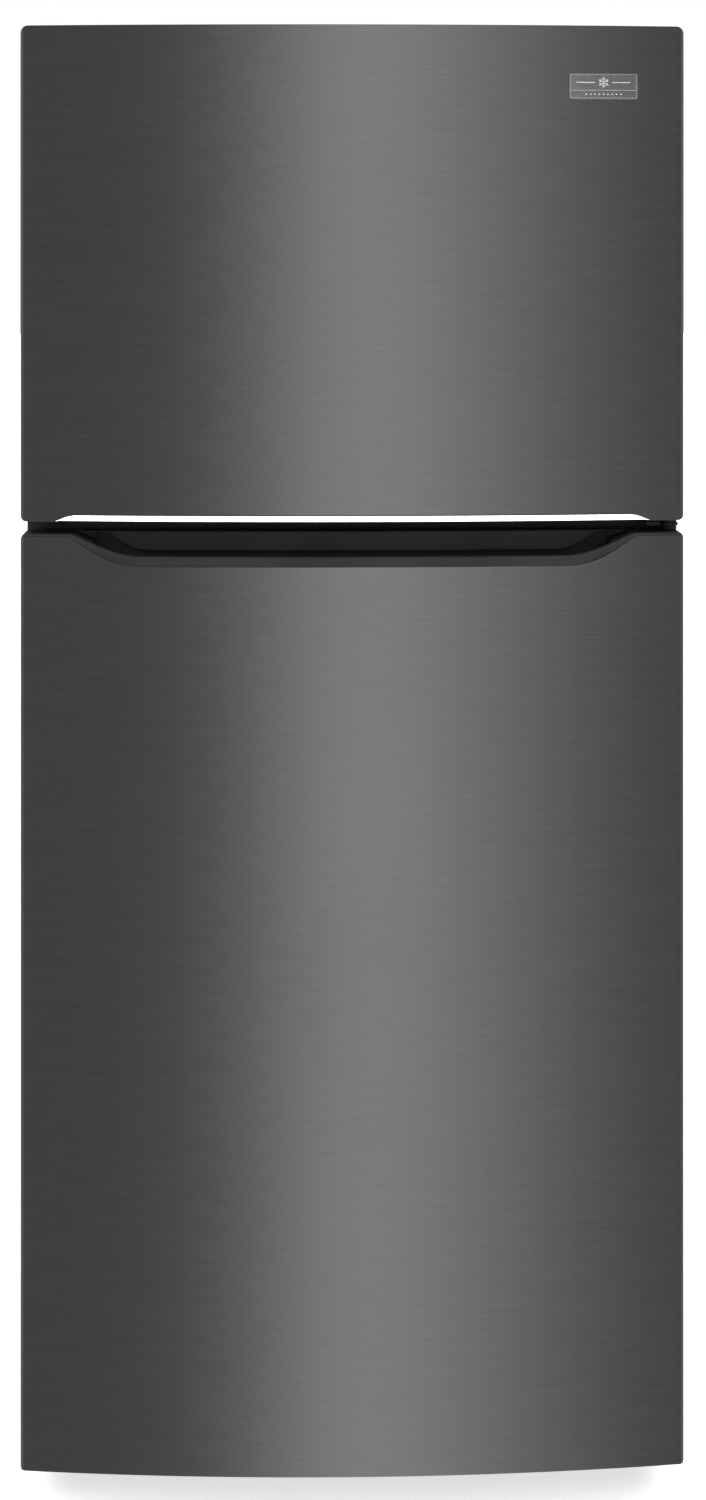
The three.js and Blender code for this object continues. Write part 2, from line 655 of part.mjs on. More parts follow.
// The bin has a fixed top strip behind the lid's pin.
function dairyBin() {
  const half = DYKES.fridge.half - DYKE_WIDTH - SLACK;
  const strip = block(
    [-half + BIN_CORNER, half - BIN_CORNER], [DOOR_REAR_Y + SLACK, LID_PIN_Y - LID_PIN_GAP],
    [DAIRY_TOP_Z - MOULDED, DAIRY_TOP_Z]);
  const ends = block(
    [-half + MOULDED / 2, half - MOULDED / 2], [DOOR_REAR_Y + BIN_CORNER, LID_PIN_Y - LID_PIN_GAP],
    [DAIRY_TOP_Z - MOULDED, DAIRY_TOP_Z]);
  return join(bin(DYKES.fridge, DAIRY_LOW_Z, DAIRY_HEIGHT), strip, ends);
}

function dairyLid() {
  const half = DYKES.fridge.half - DYKE_WIDTH - SLACK;
  const z = [DAIRY_TOP_Z + FIT, DAIRY_TOP_Z + FIT + DAIRY_LID];
  const plate = block([-half, half], [LID_PIN_Y, BIN_REAR_Y], z);
  const barrel = bar('x', DAIRY_LID, -half, half, [LID_PIN_Y, z[0] + DAIRY_LID], 12);
  const lip = block([-half, half], [BIN_REAR_Y + FIT, BIN_REAR_Y + MOULDED], [z[1] - 20, z[1]]);
  const shoulder = block([-half, half], [BIN_REAR_Y - 1, BIN_REAR_Y + MOULDED], z);
  return join(plate, barrel, shoulder, lip);
}

// ---------------------------------------------------------------- case
function wrapper() {
  const outerShape = new THREE.Shape();
  const r = CASE_CORNER;
  outerShape.moveTo(-HALF_CASE, CASE_BOTTOM_Z).lineTo(HALF_CASE, CASE_BOTTOM_Z);
  outerShape.lineTo(HALF_CASE, CASE_TOP_Z - r);
  outerShape.absarc(HALF_CASE - r, CASE_TOP_Z - r, r, 0, Math.PI / 2, false);
  outerShape.lineTo(-HALF_CASE + r, CASE_TOP_Z);
  outerShape.absarc(-HALF_CASE + r, CASE_TOP_Z - r, r, Math.PI / 2, Math.PI, false);
  const outer = prism(outerShape, 'y', CASE_FRONT_Y, CASE_REAR_Y);
  const innerHalf = HALF_CASE - SHEET;
  const inner = block(
    [-innerHalf, innerHalf], [CASE_FRONT_Y + SHEET, CASE_REAR_Y + 1],
    [CASE_BOTTOM_Z - 1, CASE_ROOF_Z]);
  const y = [CASE_FRONT_Y - 1, CASE_FRONT_Y + 2 * SHEET];
  const face = block([-FACE_HALF, FACE_HALF], y, [SILL_TOP_Z, CASE_TOP_Z - FACE_FLANGE]);
  const foot = block([-FACE_HALF, FACE_HALF], y, [CASE_BOTTOM_Z - 1, BASE_TOP_Z]);
  return cut(outer, inner, face, foot);
}

function rearPanel() {
  const half = HALF_CASE - SHEET - FIT;
  const y = [CASE_REAR_Y - SHEET - 1, CASE_REAR_Y - 1];
  const panel = block([-half, half], y, [BASE_TOP_Z + FIT, CASE_ROOF_Z - FIT]);
  const machineHalf = RAIL_INNER_X + FIT;
  const machine = block(
    [-machineHalf, machineHalf], [y[0] - 1, y[1] + 1], [BASE_TOP_Z - 1, MACHINE_TOP_Z + SHEET + FIT]);
  return cut(panel, machine);
}

// The fresh food space, grown by the liner or by the liner and its gap, with its step over the machinery.
function freshSpace(grow, frontY) {
  const profile = polygon([
    [frontY, FRESH_FLOOR_Z - grow],
    [HUMP_FRONT_Y + grow, FRESH_FLOOR_Z - grow],
    [HUMP_FRONT_Y + grow, HUMP_TOP_Z - grow],
    [CAVITY_REAR_Y + grow, HUMP_TOP_Z - grow],
    [CAVITY_REAR_Y + grow, FRESH_ROOF_Z + grow],
    [frontY, FRESH_ROOF_Z + grow],
  ]);
  return prism(profile, 'x', -FRESH_HALF - grow, FRESH_HALF + grow);
}

function freezerSpace(grow, frontY) {
  return block(
    [-FREEZER_HALF - grow, FREEZER_HALF + grow], [frontY, CAVITY_REAR_Y + grow],
    [FREEZER_FLOOR_Z - grow, FREEZER_ROOF_Z + grow]);
}

const RAIL_TOP_OF_MULLION_Z = FREEZER_FLOOR_Z - LINER - 5;
const RAIL_FOOT_OF_MULLION_Z = FRESH_ROOF_Z + LINER + 5;

function foam() {
  const half = HALF_CASE - SHEET - FIT;
  const y = [CASE_FRONT_Y + LINER + FIT, CASE_REAR_Y - SHEET - 1 - FIT];
  const outer = block(
    [-half, half], y, [BASE_TOP_Z + FIT, CASE_ROOF_Z - FIT]);
  const machineHalf = RAIL_INNER_X + FIT;
  const machine = block(
    [-machineHalf, machineHalf], [MACHINE_FRONT_Y - FIT, CASE_REAR_Y + 1],
    [BASE_TOP_Z - 1, MACHINE_TOP_Z + SHEET + FIT]);
  const gap = LINER + FIT;
  return cut(outer, machine, freshSpace(gap, CASE_FRONT_Y - 1), freezerSpace(gap, CASE_FRONT_Y - 1));
}

function linerFlange(z) {
  const half = FACE_HALF - FIT;
  return block([-half, half], [CASE_FRONT_Y, CASE_FRONT_Y + LINER], z);
}

// A pair of narrow ledges on the side walls, which a shelf rests on.
function ledges(half, topZ, y) {
  const z = [topZ - LEDGE_THICKNESS, topZ];
  return join(
    block([-half - LINER / 2, -half + LEDGE], y, z),
    block([half + LINER / 2, half - LEDGE], y, z));
}

function freshLiner() {
  const flange = linerFlange([SILL_TOP_Z + FIT, RAIL_FOOT_OF_MULLION_Z - FIT]);
  const shell = cut(join(freshSpace(LINER, CASE_FRONT_Y), flange), freshSpace(0, CASE_FRONT_Y - 1));
  const shelfY = [SHELF_FRONT_Y + SHELF_TRIM_DEPTH, CAVITY_REAR_Y - SLACK];
  const levels = [...SHELF_LEVELS, COVER_TOP_Z + 1.5 * SHELF_STEP];
  const rests = levels.map((z) => ledges(FRESH_HALF, z - FIT, shelfY));
  const cover = ledges(FRESH_HALF, CRISPER_TOP_Z + SLACK - FIT, [SHELF_FRONT_Y, HUMP_FRONT_Y - SLACK]);
  const runnerZ = [FRESH_FLOOR_Z - LINER / 2, CRISPER_LOW_Z - FIT];
  const inner = CRISPER_X[0] + RUNNER_INSET;
  const outer = CRISPER_X[1] - RUNNER_INSET;
  const runners = [-outer, -inner, inner, outer].map(
    (x) => block([x - RUNNER_WIDTH / 2, x + RUNNER_WIDTH / 2], CRISPER_Y, runnerZ));
  return join(shell, cover, ...rests, ...runners);
}

function freezerLiner() {
  const flange = linerFlange([RAIL_TOP_OF_MULLION_Z + FIT, CASE_TOP_Z - FACE_FLANGE - FIT]);
  const shell = cut(join(freezerSpace(LINER, CASE_FRONT_Y), flange), freezerSpace(0, CASE_FRONT_Y - 1));
  return join(shell, ledges(FREEZER_HALF, FREEZER_SHELF_Z - FIT, [SHELF_FRONT_Y + 20, DUCT_FRONT_Y - SLACK]));
}

function mullionRail() {
  const half = FACE_HALF - FIT;
  return block(
    [-half, half], [CASE_FRONT_Y, CASE_FRONT_Y + SHEET], [RAIL_FOOT_OF_MULLION_Z, RAIL_TOP_OF_MULLION_Z]);
}

// The sheet that closes the foam below and lines the machine space.
function basePan() {
  const half = RAIL_INNER_X - FIT;
  const frontY = CASE_FRONT_Y + LINER + FIT;
  const rearY = CASE_REAR_Y - SHEET - 1;
  const profile = polygon([
    [frontY, BASE_TOP_Z - SHEET],
    [MACHINE_FRONT_Y + SHEET, BASE_TOP_Z - SHEET],
    [MACHINE_FRONT_Y + SHEET, MACHINE_TOP_Z],
    [rearY, MACHINE_TOP_Z],
    [rearY, MACHINE_TOP_Z + SHEET],
    [MACHINE_FRONT_Y, MACHINE_TOP_Z + SHEET],
    [MACHINE_FRONT_Y, BASE_TOP_Z],
    [frontY, BASE_TOP_Z],
  ]);
  return prism(profile, 'x', -half, half);
}

// ---------------------------------------------------------------- base
const ROLLER_Y = CASE_REAR_Y - ROLLER_FROM_REAR;
const LEG_Y = CASE_FRONT_Y + LEG_FROM_FRONT;
const WHEEL_X = RAIL_OUTER_X - BASE_SIDE / 2;

// side is 1 for the right rail and -1 for the left one.
function baseRail(side) {
  const x = (low, high) => [side * low, side * high];
  const outer = block(
    x(RAIL_INNER_X, RAIL_OUTER_X), [CASE_FRONT_Y + SHEET + FIT, CASE_REAR_Y - SLACK],
    [CASE_BOTTOM_Z + 4, BASE_TOP_Z - RAIL_TOP_GAP]);
  const channelX = x(RAIL_INNER_X + RAIL_WALL, RAIL_OUTER_X - RAIL_WALL);
  const channel = block(
    channelX, [CASE_FRONT_Y - 1, CASE_REAR_Y + 1], [CASE_BOTTOM_Z, BASE_TOP_Z - RAIL_TOP_GAP - RAIL_WALL]);
  const earY = [ROLLER_Y - 14, ROLLER_Y + 14];
  const earZ = [ROLLER_RADIUS - 10, CASE_BOTTOM_Z + 8];
  const ears = join(
    block(x(RAIL_INNER_X, RAIL_INNER_X + RAIL_WALL), earY, earZ),
    block(x(RAIL_OUTER_X - RAIL_WALL, RAIL_OUTER_X), earY, earZ));
  const axleX = x(RAIL_INNER_X + RAIL_WALL / 2, RAIL_OUTER_X - RAIL_WALL / 2);
  const axle = bar('x', AXLE_RADIUS, axleX[0], axleX[1], [ROLLER_Y, ROLLER_RADIUS], 12);
  const nutX = x(RAIL_INNER_X + RAIL_WALL / 2, RAIL_OUTER_X - RAIL_WALL / 2);
  const nutLowZ = CASE_BOTTOM_Z + NUT_RISE;
  const nut = block(nutX, [LEG_Y - NUT_HALF, LEG_Y + NUT_HALF], [nutLowZ, nutLowZ + NUT_HEIGHT]);
  const thread = bar(
    'z', STUD_RADIUS + STUD_PLAY, nutLowZ - NUT_RISE, nutLowZ + 2 * NUT_HEIGHT, [side * WHEEL_X, LEG_Y], 12);
  return join(cut(join(cut(outer, channel), nut), thread), ears, axle);
}

function roller(side) {
  const x = side * WHEEL_X;
  const centre = [ROLLER_Y, ROLLER_RADIUS];
  const wheel = bar('x', ROLLER_RADIUS, x - ROLLER_WIDTH / 2, x + ROLLER_WIDTH / 2, centre, 28);
  const bore = bar('x', AXLE_RADIUS + AXLE_PLAY, x - ROLLER_WIDTH, x + ROLLER_WIDTH, centre, 12);
  return cut(wheel, bore);
}

function leg(side) {
  const at = [side * WHEEL_X, LEG_Y];
  const pad = bar('z', LEG_PAD_RADIUS, 0, LEG_PAD_HEIGHT, at, 12);
  const stud = bar('z', STUD_RADIUS, LEG_PAD_HEIGHT - 1, BASE_TOP_Z - RAIL_WALL - 6, at, 12);
  return join(pad, stud);
}

// The grille closes the front between the base rails, under the base pan.
function toeGrille() {
  const half = RAIL_INNER_X - FIT;
  const y = [CASE_FRONT_Y + SHEET + FIT, CASE_FRONT_Y + SHEET + FIT + GRILLE_THICKNESS];
  const z = [CASE_BOTTOM_Z, BASE_TOP_Z - SHEET - FIT];
  const panel = prism(roundedRect(-half, half, z[0], z[1], GRILLE_RIM / 2), 'y', y[0], y[1]);
  const step = (2 * half - 4 * GRILLE_RIM) / GRILLE_SLOTS;
  const slots = [];
  for (let i = 0; i < GRILLE_SLOTS; i++) {
    const left = -half + 2 * GRILLE_RIM + i * step;
    slots.push(block(
      [left + GRILLE_RIM / 2, left + step - GRILLE_RIM / 2], [y[0] - 1, y[1] + 1],
      [z[0] + GRILLE_RIM, z[1] - GRILLE_RIM]));
  }
  return cut(panel, ...slots);
}

function machineCover() {
  const half = RAIL_INNER_X - 3;
  const y = [CASE_REAR_Y - 5, CASE_REAR_Y - 3];
  const panel = block([-half, half], y, [TRAY_Z + TRAY_THICKNESS + 2, MACHINE_TOP_Z - 3]);
  const slots = [];
  for (let row = 0; row < VENT_ROWS; row++) {
    const z = TRAY_Z + VENT_RISE + row * VENT_PITCH;
    [-1, 1].forEach((side) => {
      slots.push(block(
        [side * VENT_MIDDLE, side * (half - VENT_MARGIN)], [y[0] - 1, y[1] + 1], [z, z + VENT_HEIGHT]));
    });
  }
  return cut(panel, ...slots);
}

function compressorTray() {
  const half = RAIL_INNER_X - FIT;
  return block([-half, half], [MACHINE_FRONT_Y + 8, CASE_REAR_Y - 6], [TRAY_Z - TRAY_THICKNESS, TRAY_Z]);
}

// ---------------------------------------------------------------- machinery
const COMPRESSOR_AT = [
  -RAIL_INNER_X + COMPRESSOR_SIDE_GAP + COMPRESSOR_RADIUS + COMPRESSOR_FOOT, MACHINE_FRONT_Y + 122];
const COIL_Y = CASE_REAR_Y - 34;
const COIL_X = RAIL_INNER_X - PAN_SIDE_GAP - PAN_HALF;
const PAN_TOP_Z = TRAY_Z + PAN_HEIGHT;
const COOLING_FAN_AT = new THREE.Vector3(
  COIL_X - PAN_HALF - PAN_SIDE_GAP, MACHINE_FRONT_Y + 130, TRAY_Z + 88);
const FREEZER_FAN_AT = new THREE.Vector3(0, DUCT_FRONT_Y + 14, FREEZER_ROOF_Z - 110);

function compressor() {
  const r = COMPRESSOR_RADIUS;
  const footZ = TRAY_Z + FIT;
  const lowZ = TRAY_Z + 18;
  const profile = [[0, 0]];
  for (let i = 1; i < 10; i++) {
    const turn = -Math.PI / 2 + (Math.PI * i) / 10;
    const swell = Math.cos(turn) ** 0.6;
    profile.push([r * swell, (COMPRESSOR_HEIGHT * (1 + Math.sin(turn))) / 2]);
  }
  profile.push([0, COMPRESSOR_HEIGHT]);
  const pot = new THREE.LatheGeometry(profile.map(([a, b]) => new THREE.Vector2(a, b)), 24);
  pot.rotateX(Math.PI / 2).translate(COMPRESSOR_AT[0], COMPRESSOR_AT[1], lowZ);
  const seamZ = lowZ + COMPRESSOR_HEIGHT / 2;
  const seam = bar(
    'z', r + COMPRESSOR_SEAM, seamZ - COMPRESSOR_SEAM, seamZ + COMPRESSOR_SEAM, COMPRESSOR_AT, 24);
  const reach = r + COMPRESSOR_FOOT;
  const plate = block(
    [COMPRESSOR_AT[0] - reach, COMPRESSOR_AT[0] + reach],
    [COMPRESSOR_AT[1] - 0.7 * reach, COMPRESSOR_AT[1] + 0.7 * reach], [lowZ - 2, lowZ + 6]);
  const footX = reach - GROMMET_INSET;
  const footY = 0.7 * reach - GROMMET_INSET;
  const feet = [-1, 1].flatMap((a) => [-1, 1].map((b) => bar(
    'z', GROMMET_RADIUS, footZ, lowZ, [COMPRESSOR_AT[0] + a * footX, COMPRESSOR_AT[1] + b * footY], 10)));
  return join(solid(pot), seam, plate, ...feet);
}

function condenserCoil() {
  const lowZ = PAN_TOP_Z + 30;
  const place = (along, up) => new THREE.Vector3(COIL_X + along, COIL_Y, lowZ + up);
  const pipe = tube(serpentine(COIL_ROWS, COIL_LENGTH, COIL_PITCH, 5, place), COIL_TUBE);
  const height = (COIL_ROWS - 1) * COIL_PITCH;
  const brackets = [-1, 1].map((side) => {
    const x = COIL_X + (side * COIL_LENGTH) / 3;
    return block([x - 1, x + 1], [COIL_Y - 12, COIL_Y + 12], [PAN_TOP_Z + 4, lowZ + height + 12]);
  });
  return join(pipe, ...brackets);
}

function drainPan() {
  return tray(
    [COIL_X - PAN_HALF, COIL_X + PAN_HALF], [COIL_Y - PAN_DEPTH, COIL_Y + 20],
    [TRAY_Z + FIT, PAN_TOP_Z], MOULDED, BIN_CORNER);
}

// A hub with tilted blades, turning about its own Z axis.
function fanWheel(blades) {
  const hub = bar('z', FAN_HUB, -FAN_DEPTH / 2, FAN_DEPTH / 2, [0, 0], 14);
  const wings = [];
  for (let i = 0; i < blades; i++) {
    const wing = new THREE.BoxGeometry(FAN_RADIUS - FAN_HUB + 4, 26, 2);
    wing.rotateX(0.45);
    wing.translate((FAN_RADIUS + FAN_HUB - 4) / 2, 0, 0);
    wing.rotateZ((2 * Math.PI * i) / blades);
    wings.push(solid(wing));
  }
  return join(hub, ...wings);
}

// The fan's motor stands behind the wheel on a bracket, in the wheel's own frame.
function coolingMotor() {
  const at = COOLING_FAN_AT;
  const frontX = at.x - FAN_DEPTH / 2 - 3;
  const can = bar('x', 24, frontX - 34, frontX, [at.y, at.z], 16);
  const bracket = block([frontX - 26, frontX - 20], [at.y - 16, at.y + 16], [TRAY_Z + FIT, at.z]);
  const foot = block([frontX - 44, frontX - 4], [at.y - 16, at.y + 16], [TRAY_Z + FIT, TRAY_Z + 4]);
  return join(can, bracket, foot);
}

function freezerMotor() {
  const at = FREEZER_FAN_AT;
  const y = [at.y + FAN_DEPTH / 2 + 4, CAVITY_REAR_Y - FIT];
  const can = bar('y', 22, y[0], y[1], [at.x, at.z], 16);
  const yoke = block([at.x - 64, at.x + 64], [y[1] - 8, y[1]], [at.z - 8, at.z + 8]);
  return join(can, yoke);
}

function evaporatorCoil() {
  const y = [DUCT_FRONT_Y + COVER_THICKNESS + 12, CAVITY_REAR_Y - 8];
  const z = [FREEZER_FLOOR_Z + 30, FREEZER_FLOOR_Z + 190];
  const spineZ = (z[0] + z[1]) / 2;
  const step = (2 * EVAPORATOR_HALF) / (EVAPORATOR_FINS - 1);
  const fins = [];
  for (let i = 0; i < EVAPORATOR_FINS; i++) {
    const x = -EVAPORATOR_HALF + i * step;
    fins.push(block([x - 1, x + 1], y, z));
  }
  const runs = [0.14, 0.38, 0.62, 0.86].map((share) => {
    const at = z[0] + share * (z[1] - z[0]);
    return block(
      [-EVAPORATOR_HALF - 10, EVAPORATOR_HALF + 10], [spineY(y) - 4, spineY(y) + 4], [at - 4, at + 4]);
  });
  const bends = [[-1, 0.14, 0.38], [1, 0.38, 0.62], [-1, 0.62, 0.86]].map(([side, a, b]) => {
    const outer = side * (EVAPORATOR_HALF + 10);
    return block(
      [outer, outer + side * 8], [spineY(y) - 4, spineY(y) + 4],
      [z[0] + a * (z[1] - z[0]) - 4, z[0] + b * (z[1] - z[0]) + 4]);
  });
  const spine = block([-EVAPORATOR_HALF, EVAPORATOR_HALF], [y[1] - 2, y[1]], [spineZ - 6, spineZ + 6]);
  return join(spine, ...fins, ...runs, ...bends);
}

function spineY(y) {
  return (y[0] + y[1]) / 2;
}

function evaporatorCover() {
  const half = FREEZER_HALF - FIT;
  const y = [DUCT_FRONT_Y, DUCT_FRONT_Y + COVER_THICKNESS];
  const panel = block([-half, half], y, [FREEZER_FLOOR_Z + FIT, FREEZER_ROOF_Z - FIT]);
  const slots = [];
  for (let i = -2; i <= 2; i++) {
    const z = FREEZER_FAN_AT.z + i * 17;
    const reach = Math.sqrt(FAN_RADIUS ** 2 - (i * 17) ** 2);
    slots.push(block([-reach, reach], [y[0] - 1, y[1] + 1], [z - 5, z + 5]));
  }
  const step = EVAPORATOR_HALF / 4;
  for (let i = 0; i < 8; i++) {
    const x = -EVAPORATOR_HALF + i * step;
    slots.push(block(
      [x + RETURN_RIB, x + step - RETURN_RIB], [y[0] - 1, y[1] + 1],
      [FREEZER_FLOOR_Z + RETURN_RISE, FREEZER_FLOOR_Z + RETURN_RISE + RETURN_HEIGHT]));
  }
  return cut(panel, ...slots);
}

// ---------------------------------------------------------------- inside the spaces
function freezerShelf() {
  const half = FREEZER_HALF - SLACK;
  const y = [SHELF_FRONT_Y, DUCT_FRONT_Y - SLACK];
  const z = [FREEZER_SHELF_Z, FREEZER_SHELF_Z + WIRE];
  const rails = [y[0] + WIRE / 2, (y[0] + y[1]) / 2, y[1] - WIRE / 2].map(
    (at) => block([-half, half], [at - WIRE / 2, at + WIRE / 2], z));
  const wires = [];
  for (let i = 0; i < WIRE_COUNT; i++) {
    const x = -half + WIRE / 2 + ((2 * half - WIRE) * i) / (WIRE_COUNT - 1);
    wires.push(block([x - WIRE / 2, x + WIRE / 2], y, [z[0] + WIRE / 4, z[1] + WIRE / 4]));
  }
  return join(...rails, ...wires);
}

function shelfGlass(level) {
  const half = FRESH_HALF - SLACK;
  return block(
    [-half, half], [SHELF_FRONT_Y + SHELF_TRIM_DEPTH / 2, CAVITY_REAR_Y - 6], [level, level + SHELF_GLASS]);
}

function shelfTrim(level) {
  const half = FRESH_HALF - SLACK;
  const z = [level - SHELF_TRIM_HEIGHT / 2, level + SHELF_TRIM_HEIGHT / 2];
  const nose = prism(
    roundedRect(SHELF_FRONT_Y, SHELF_FRONT_Y + SHELF_TRIM_DEPTH - 2 * FIT, z[0], z[1], 4), 'x', -half, half);
  const slot = block(
    [-half - 1, half + 1], [SHELF_FRONT_Y + SHELF_TRIM_DEPTH / 2 - FIT, SHELF_FRONT_Y + SHELF_TRIM_DEPTH],
    [level - FIT, level + SHELF_GLASS + FIT]);
  return cut(nose, slot);
}

const COVER_REAR_Y = CAVITY_REAR_Y - 6;

function crisperFrame() {
  const half = FRESH_HALF - SLACK;
  const z = [CRISPER_TOP_Z + SLACK, COVER_TOP_Z];
  const outer = block([-half, half], [SHELF_FRONT_Y, COVER_REAR_Y], z);
  const window = block(
    [-half + COVER_FRAME, half - COVER_FRAME], [SHELF_FRONT_Y + COVER_FRAME, COVER_REAR_Y - COVER_FRAME],
    [z[0] - 1, z[1] + 1]);
  const seat = block(
    [-half + COVER_FRAME - LEDGE, half - COVER_FRAME + LEDGE],
    [SHELF_FRONT_Y + COVER_FRAME - LEDGE, COVER_REAR_Y - COVER_FRAME + LEDGE],
    [z[1] - SHELF_GLASS - FIT, z[1] + 1]);
  return cut(outer, window, seat);
}

function crisperGlass() {
  const inset = COVER_FRAME - LEDGE + FIT;
  const half = FRESH_HALF - SLACK - inset;
  return block(
    [-half, half], [SHELF_FRONT_Y + inset, COVER_REAR_Y - inset], [COVER_TOP_Z - SHELF_GLASS, COVER_TOP_Z]);
}

function crisper(side) {
  const x = CRISPER_X.map((place) => side * place).sort((a, b) => a - b);
  const z = [CRISPER_LOW_Z, CRISPER_TOP_Z];
  const outer = prism(roundedRect(x[0], x[1], CRISPER_Y[0], CRISPER_Y[1], CRISPER_CORNER), 'z', z[0], z[1]);
  const inside = prism(
    roundedRect(
      x[0] + MOULDED, x[1] - MOULDED, CRISPER_Y[0] + CRISPER_FRONT, CRISPER_Y[1] - MOULDED,
      CRISPER_CORNER - CRISPER_FRONT),
    'z', z[0] + MOULDED, z[1] + 1);
  const middle = (x[0] + x[1]) / 2;
  const grip = block(
    [middle - 70, middle + 70], [CRISPER_Y[0] - 8, CRISPER_Y[0] + 2], [z[1] - 40, z[1] - 22]);
  const scoop = block([middle - 66, middle + 66], [CRISPER_Y[0] - 5, CRISPER_Y[0]], [z[1] - 41, z[1] - 26]);
  return cut(join(outer, grip), inside, scoop);
}

function controlHousing() {
  const y = [CASE_FRONT_Y + CONTROL_SETBACK, CASE_FRONT_Y + CONTROL_SETBACK + CONTROL_DEPTH];
  const z = [CONTROL_BOTTOM_Z, FRESH_ROOF_Z - FIT];
  const profile = new THREE.Shape();
  profile.moveTo(y[0] + 14, z[0]).lineTo(y[1], z[0]).lineTo(y[1], z[1]).lineTo(y[0], z[1]);
  profile.lineTo(y[0], z[0] + 14);
  profile.quadraticCurveTo(y[0], z[0], y[0] + 14, z[0]);
  const body = prism(profile, 'x', -CONTROL_HALF, CONTROL_HALF, 4);
  const lamp = block([30, CONTROL_HALF - 30], [y[0] + 40, y[1] - 40], [z[0] - 1, z[0] + 14]);
  return cut(body, lamp);
}

const DIAL_AT = new THREE.Vector3(
  -CONTROL_HALF / 2,
  CASE_FRONT_Y + CONTROL_SETBACK - FIT - DIAL_DEPTH / 2,
  CONTROL_BOTTOM_Z + CONTROL_HEIGHT / 2 + DIAL_RAISED);

// A knob with a grip ridge across it, turning about its own Z axis, which points forward.
function dial() {
  const skirt = bar('z', DIAL_RADIUS, -DIAL_DEPTH / 2, -DIAL_DEPTH / 2 + 4, [0, 0], 24);
  const knob = bar('z', DIAL_RADIUS - 5, -DIAL_DEPTH / 2, DIAL_DEPTH / 2 - 5, [0, 0], 24);
  const ridge = block([-4, 4], [-DIAL_RADIUS + 5, DIAL_RADIUS - 5], [-DIAL_DEPTH / 2, DIAL_DEPTH / 2]);
  return join(skirt, knob, ridge);
}

// ---------------------------------------------------------------- hinges
const TAB_Y = [CASE_FRONT_Y - FIT - HINGE_TAB, CASE_FRONT_Y - FIT];
const HINGE_RIGHT_X = PIN_X + 9;

function topHinge() {
  const z = [CASE_TOP_Z + FIT, CASE_TOP_Z + FIT + HINGE_PLATE];
  const eye = bar('z', HINGE_TONGUE, z[0], z[1], [PIN_X, PIN_Y]);
  const tongue = block([PIN_X - HINGE_TONGUE, PIN_X + HINGE_TONGUE], [PIN_Y, CASE_FRONT_Y + 1], z);
  const plate = block(
    [PIN_X - HINGE_SPREAD, PIN_X + HINGE_TONGUE], [CASE_FRONT_Y, CASE_FRONT_Y + HINGE_REACH], z);
  const pin = bar('z', PIN_RADIUS, z[1] - 1, FREEZER_TOP_Z - TOP_CAP_HEIGHT + 10, [PIN_X, PIN_Y]);
  return join(plate, tongue, eye, pin);
}

function topHingeCover() {
  const x = [PIN_X - HINGE_SPREAD - 4, HALF_CASE - 1];
  const y = [CASE_FRONT_Y + 1, CASE_FRONT_Y + HINGE_REACH + 5];
  const z = [CASE_TOP_Z + FIT, FREEZER_TOP_Z - COVER_BELOW_TOP];
  const w = COVER_WALL;
  const outer = prism(roundedRect(x[0], x[1], y[0], y[1], 4), 'z', z[0], z[1]);
  const inside = block([x[0] + w, x[1] - w], [y[0] + w, y[1] - w], [z[0] - 1, z[1] - w]);
  const mouth = block(
    [PIN_X - HINGE_SPREAD - 1, x[1] - w], [y[0] - 1, y[0] + 2 * w], [z[0] - 1, z[0] + HINGE_PLATE + 1]);
  return cut(outer, inside, mouth);
}

function centreHinge() {
  const z = [MULLION_Z - CENTRE_PLATE / 2, MULLION_Z + CENTRE_PLATE / 2];
  const eye = bar('z', HINGE_TONGUE + 2, z[0], z[1], [PIN_X, PIN_Y]);
  const plate = block([PIN_X - 27, HINGE_RIGHT_X], [PIN_Y, TAB_Y[1]], z);
  const tab = block([PIN_X - 8, HINGE_RIGHT_X], TAB_Y, [MULLION_Z - 24, MULLION_Z + 24]);
  const pin = bar('z', PIN_RADIUS, FRIDGE_TOP_Z - 15, FREEZER_BOTTOM_Z + 15, [PIN_X, PIN_Y]);
  return join(plate, eye, tab, pin);
}

function bottomHinge() {
  const z = [DOOR_BOTTOM_Z - 6 - HINGE_PLATE, DOOR_BOTTOM_Z - 6];
  const eye = bar('z', HINGE_TONGUE + 2, z[0], z[1], [PIN_X, PIN_Y]);
  const plate = block([PIN_X - 30, HINGE_RIGHT_X], [PIN_Y, TAB_Y[1]], z);
  const tab = block([PIN_X - 30, HINGE_RIGHT_X], TAB_Y, [CASE_BOTTOM_Z + 4, z[1]]);
  const pin = bar('z', PIN_RADIUS, z[0], DOOR_BOTTOM_Z + 15, [PIN_X, PIN_Y]);
  return join(plate, eye, tab, pin);
}

// ---------------------------------------------------------------- badge
function badge() {
  const halfX = BADGE_WIDTH / 2;
  const halfZ = BADGE_HEIGHT / 2;
  return prism(roundedRect(-halfX, halfX, -halfZ, halfZ, BADGE_CORNER), 'z', 0, BADGE_THICKNESS);
}

// The flat plate touches the bowed front at its middle line only.
function placeBadge(mesh) {
  const x = HALF_DOOR - BADGE_FROM_EDGE - BADGE_WIDTH / 2;
  const turn = Math.asin(x / BOW_RADIUS);
  const holder = new THREE.Group();
  holder.rotation.z = turn;
  holder.position.set(
    x + FIT * Math.sin(turn),
    bowY(x, 0) - FIT * Math.cos(turn),
    FREEZER_TOP_Z - BADGE_FROM_TOP - BADGE_HEIGHT / 2);
  mesh.rotation.x = Math.PI / 2;
  holder.add(mesh);
  return holder;
}

// ---------------------------------------------------------------- materials and assembly
function finish(name, colour, roughness, metalness) {
  return new THREE.MeshStandardMaterial({ name, color: colour, roughness, metalness });
}

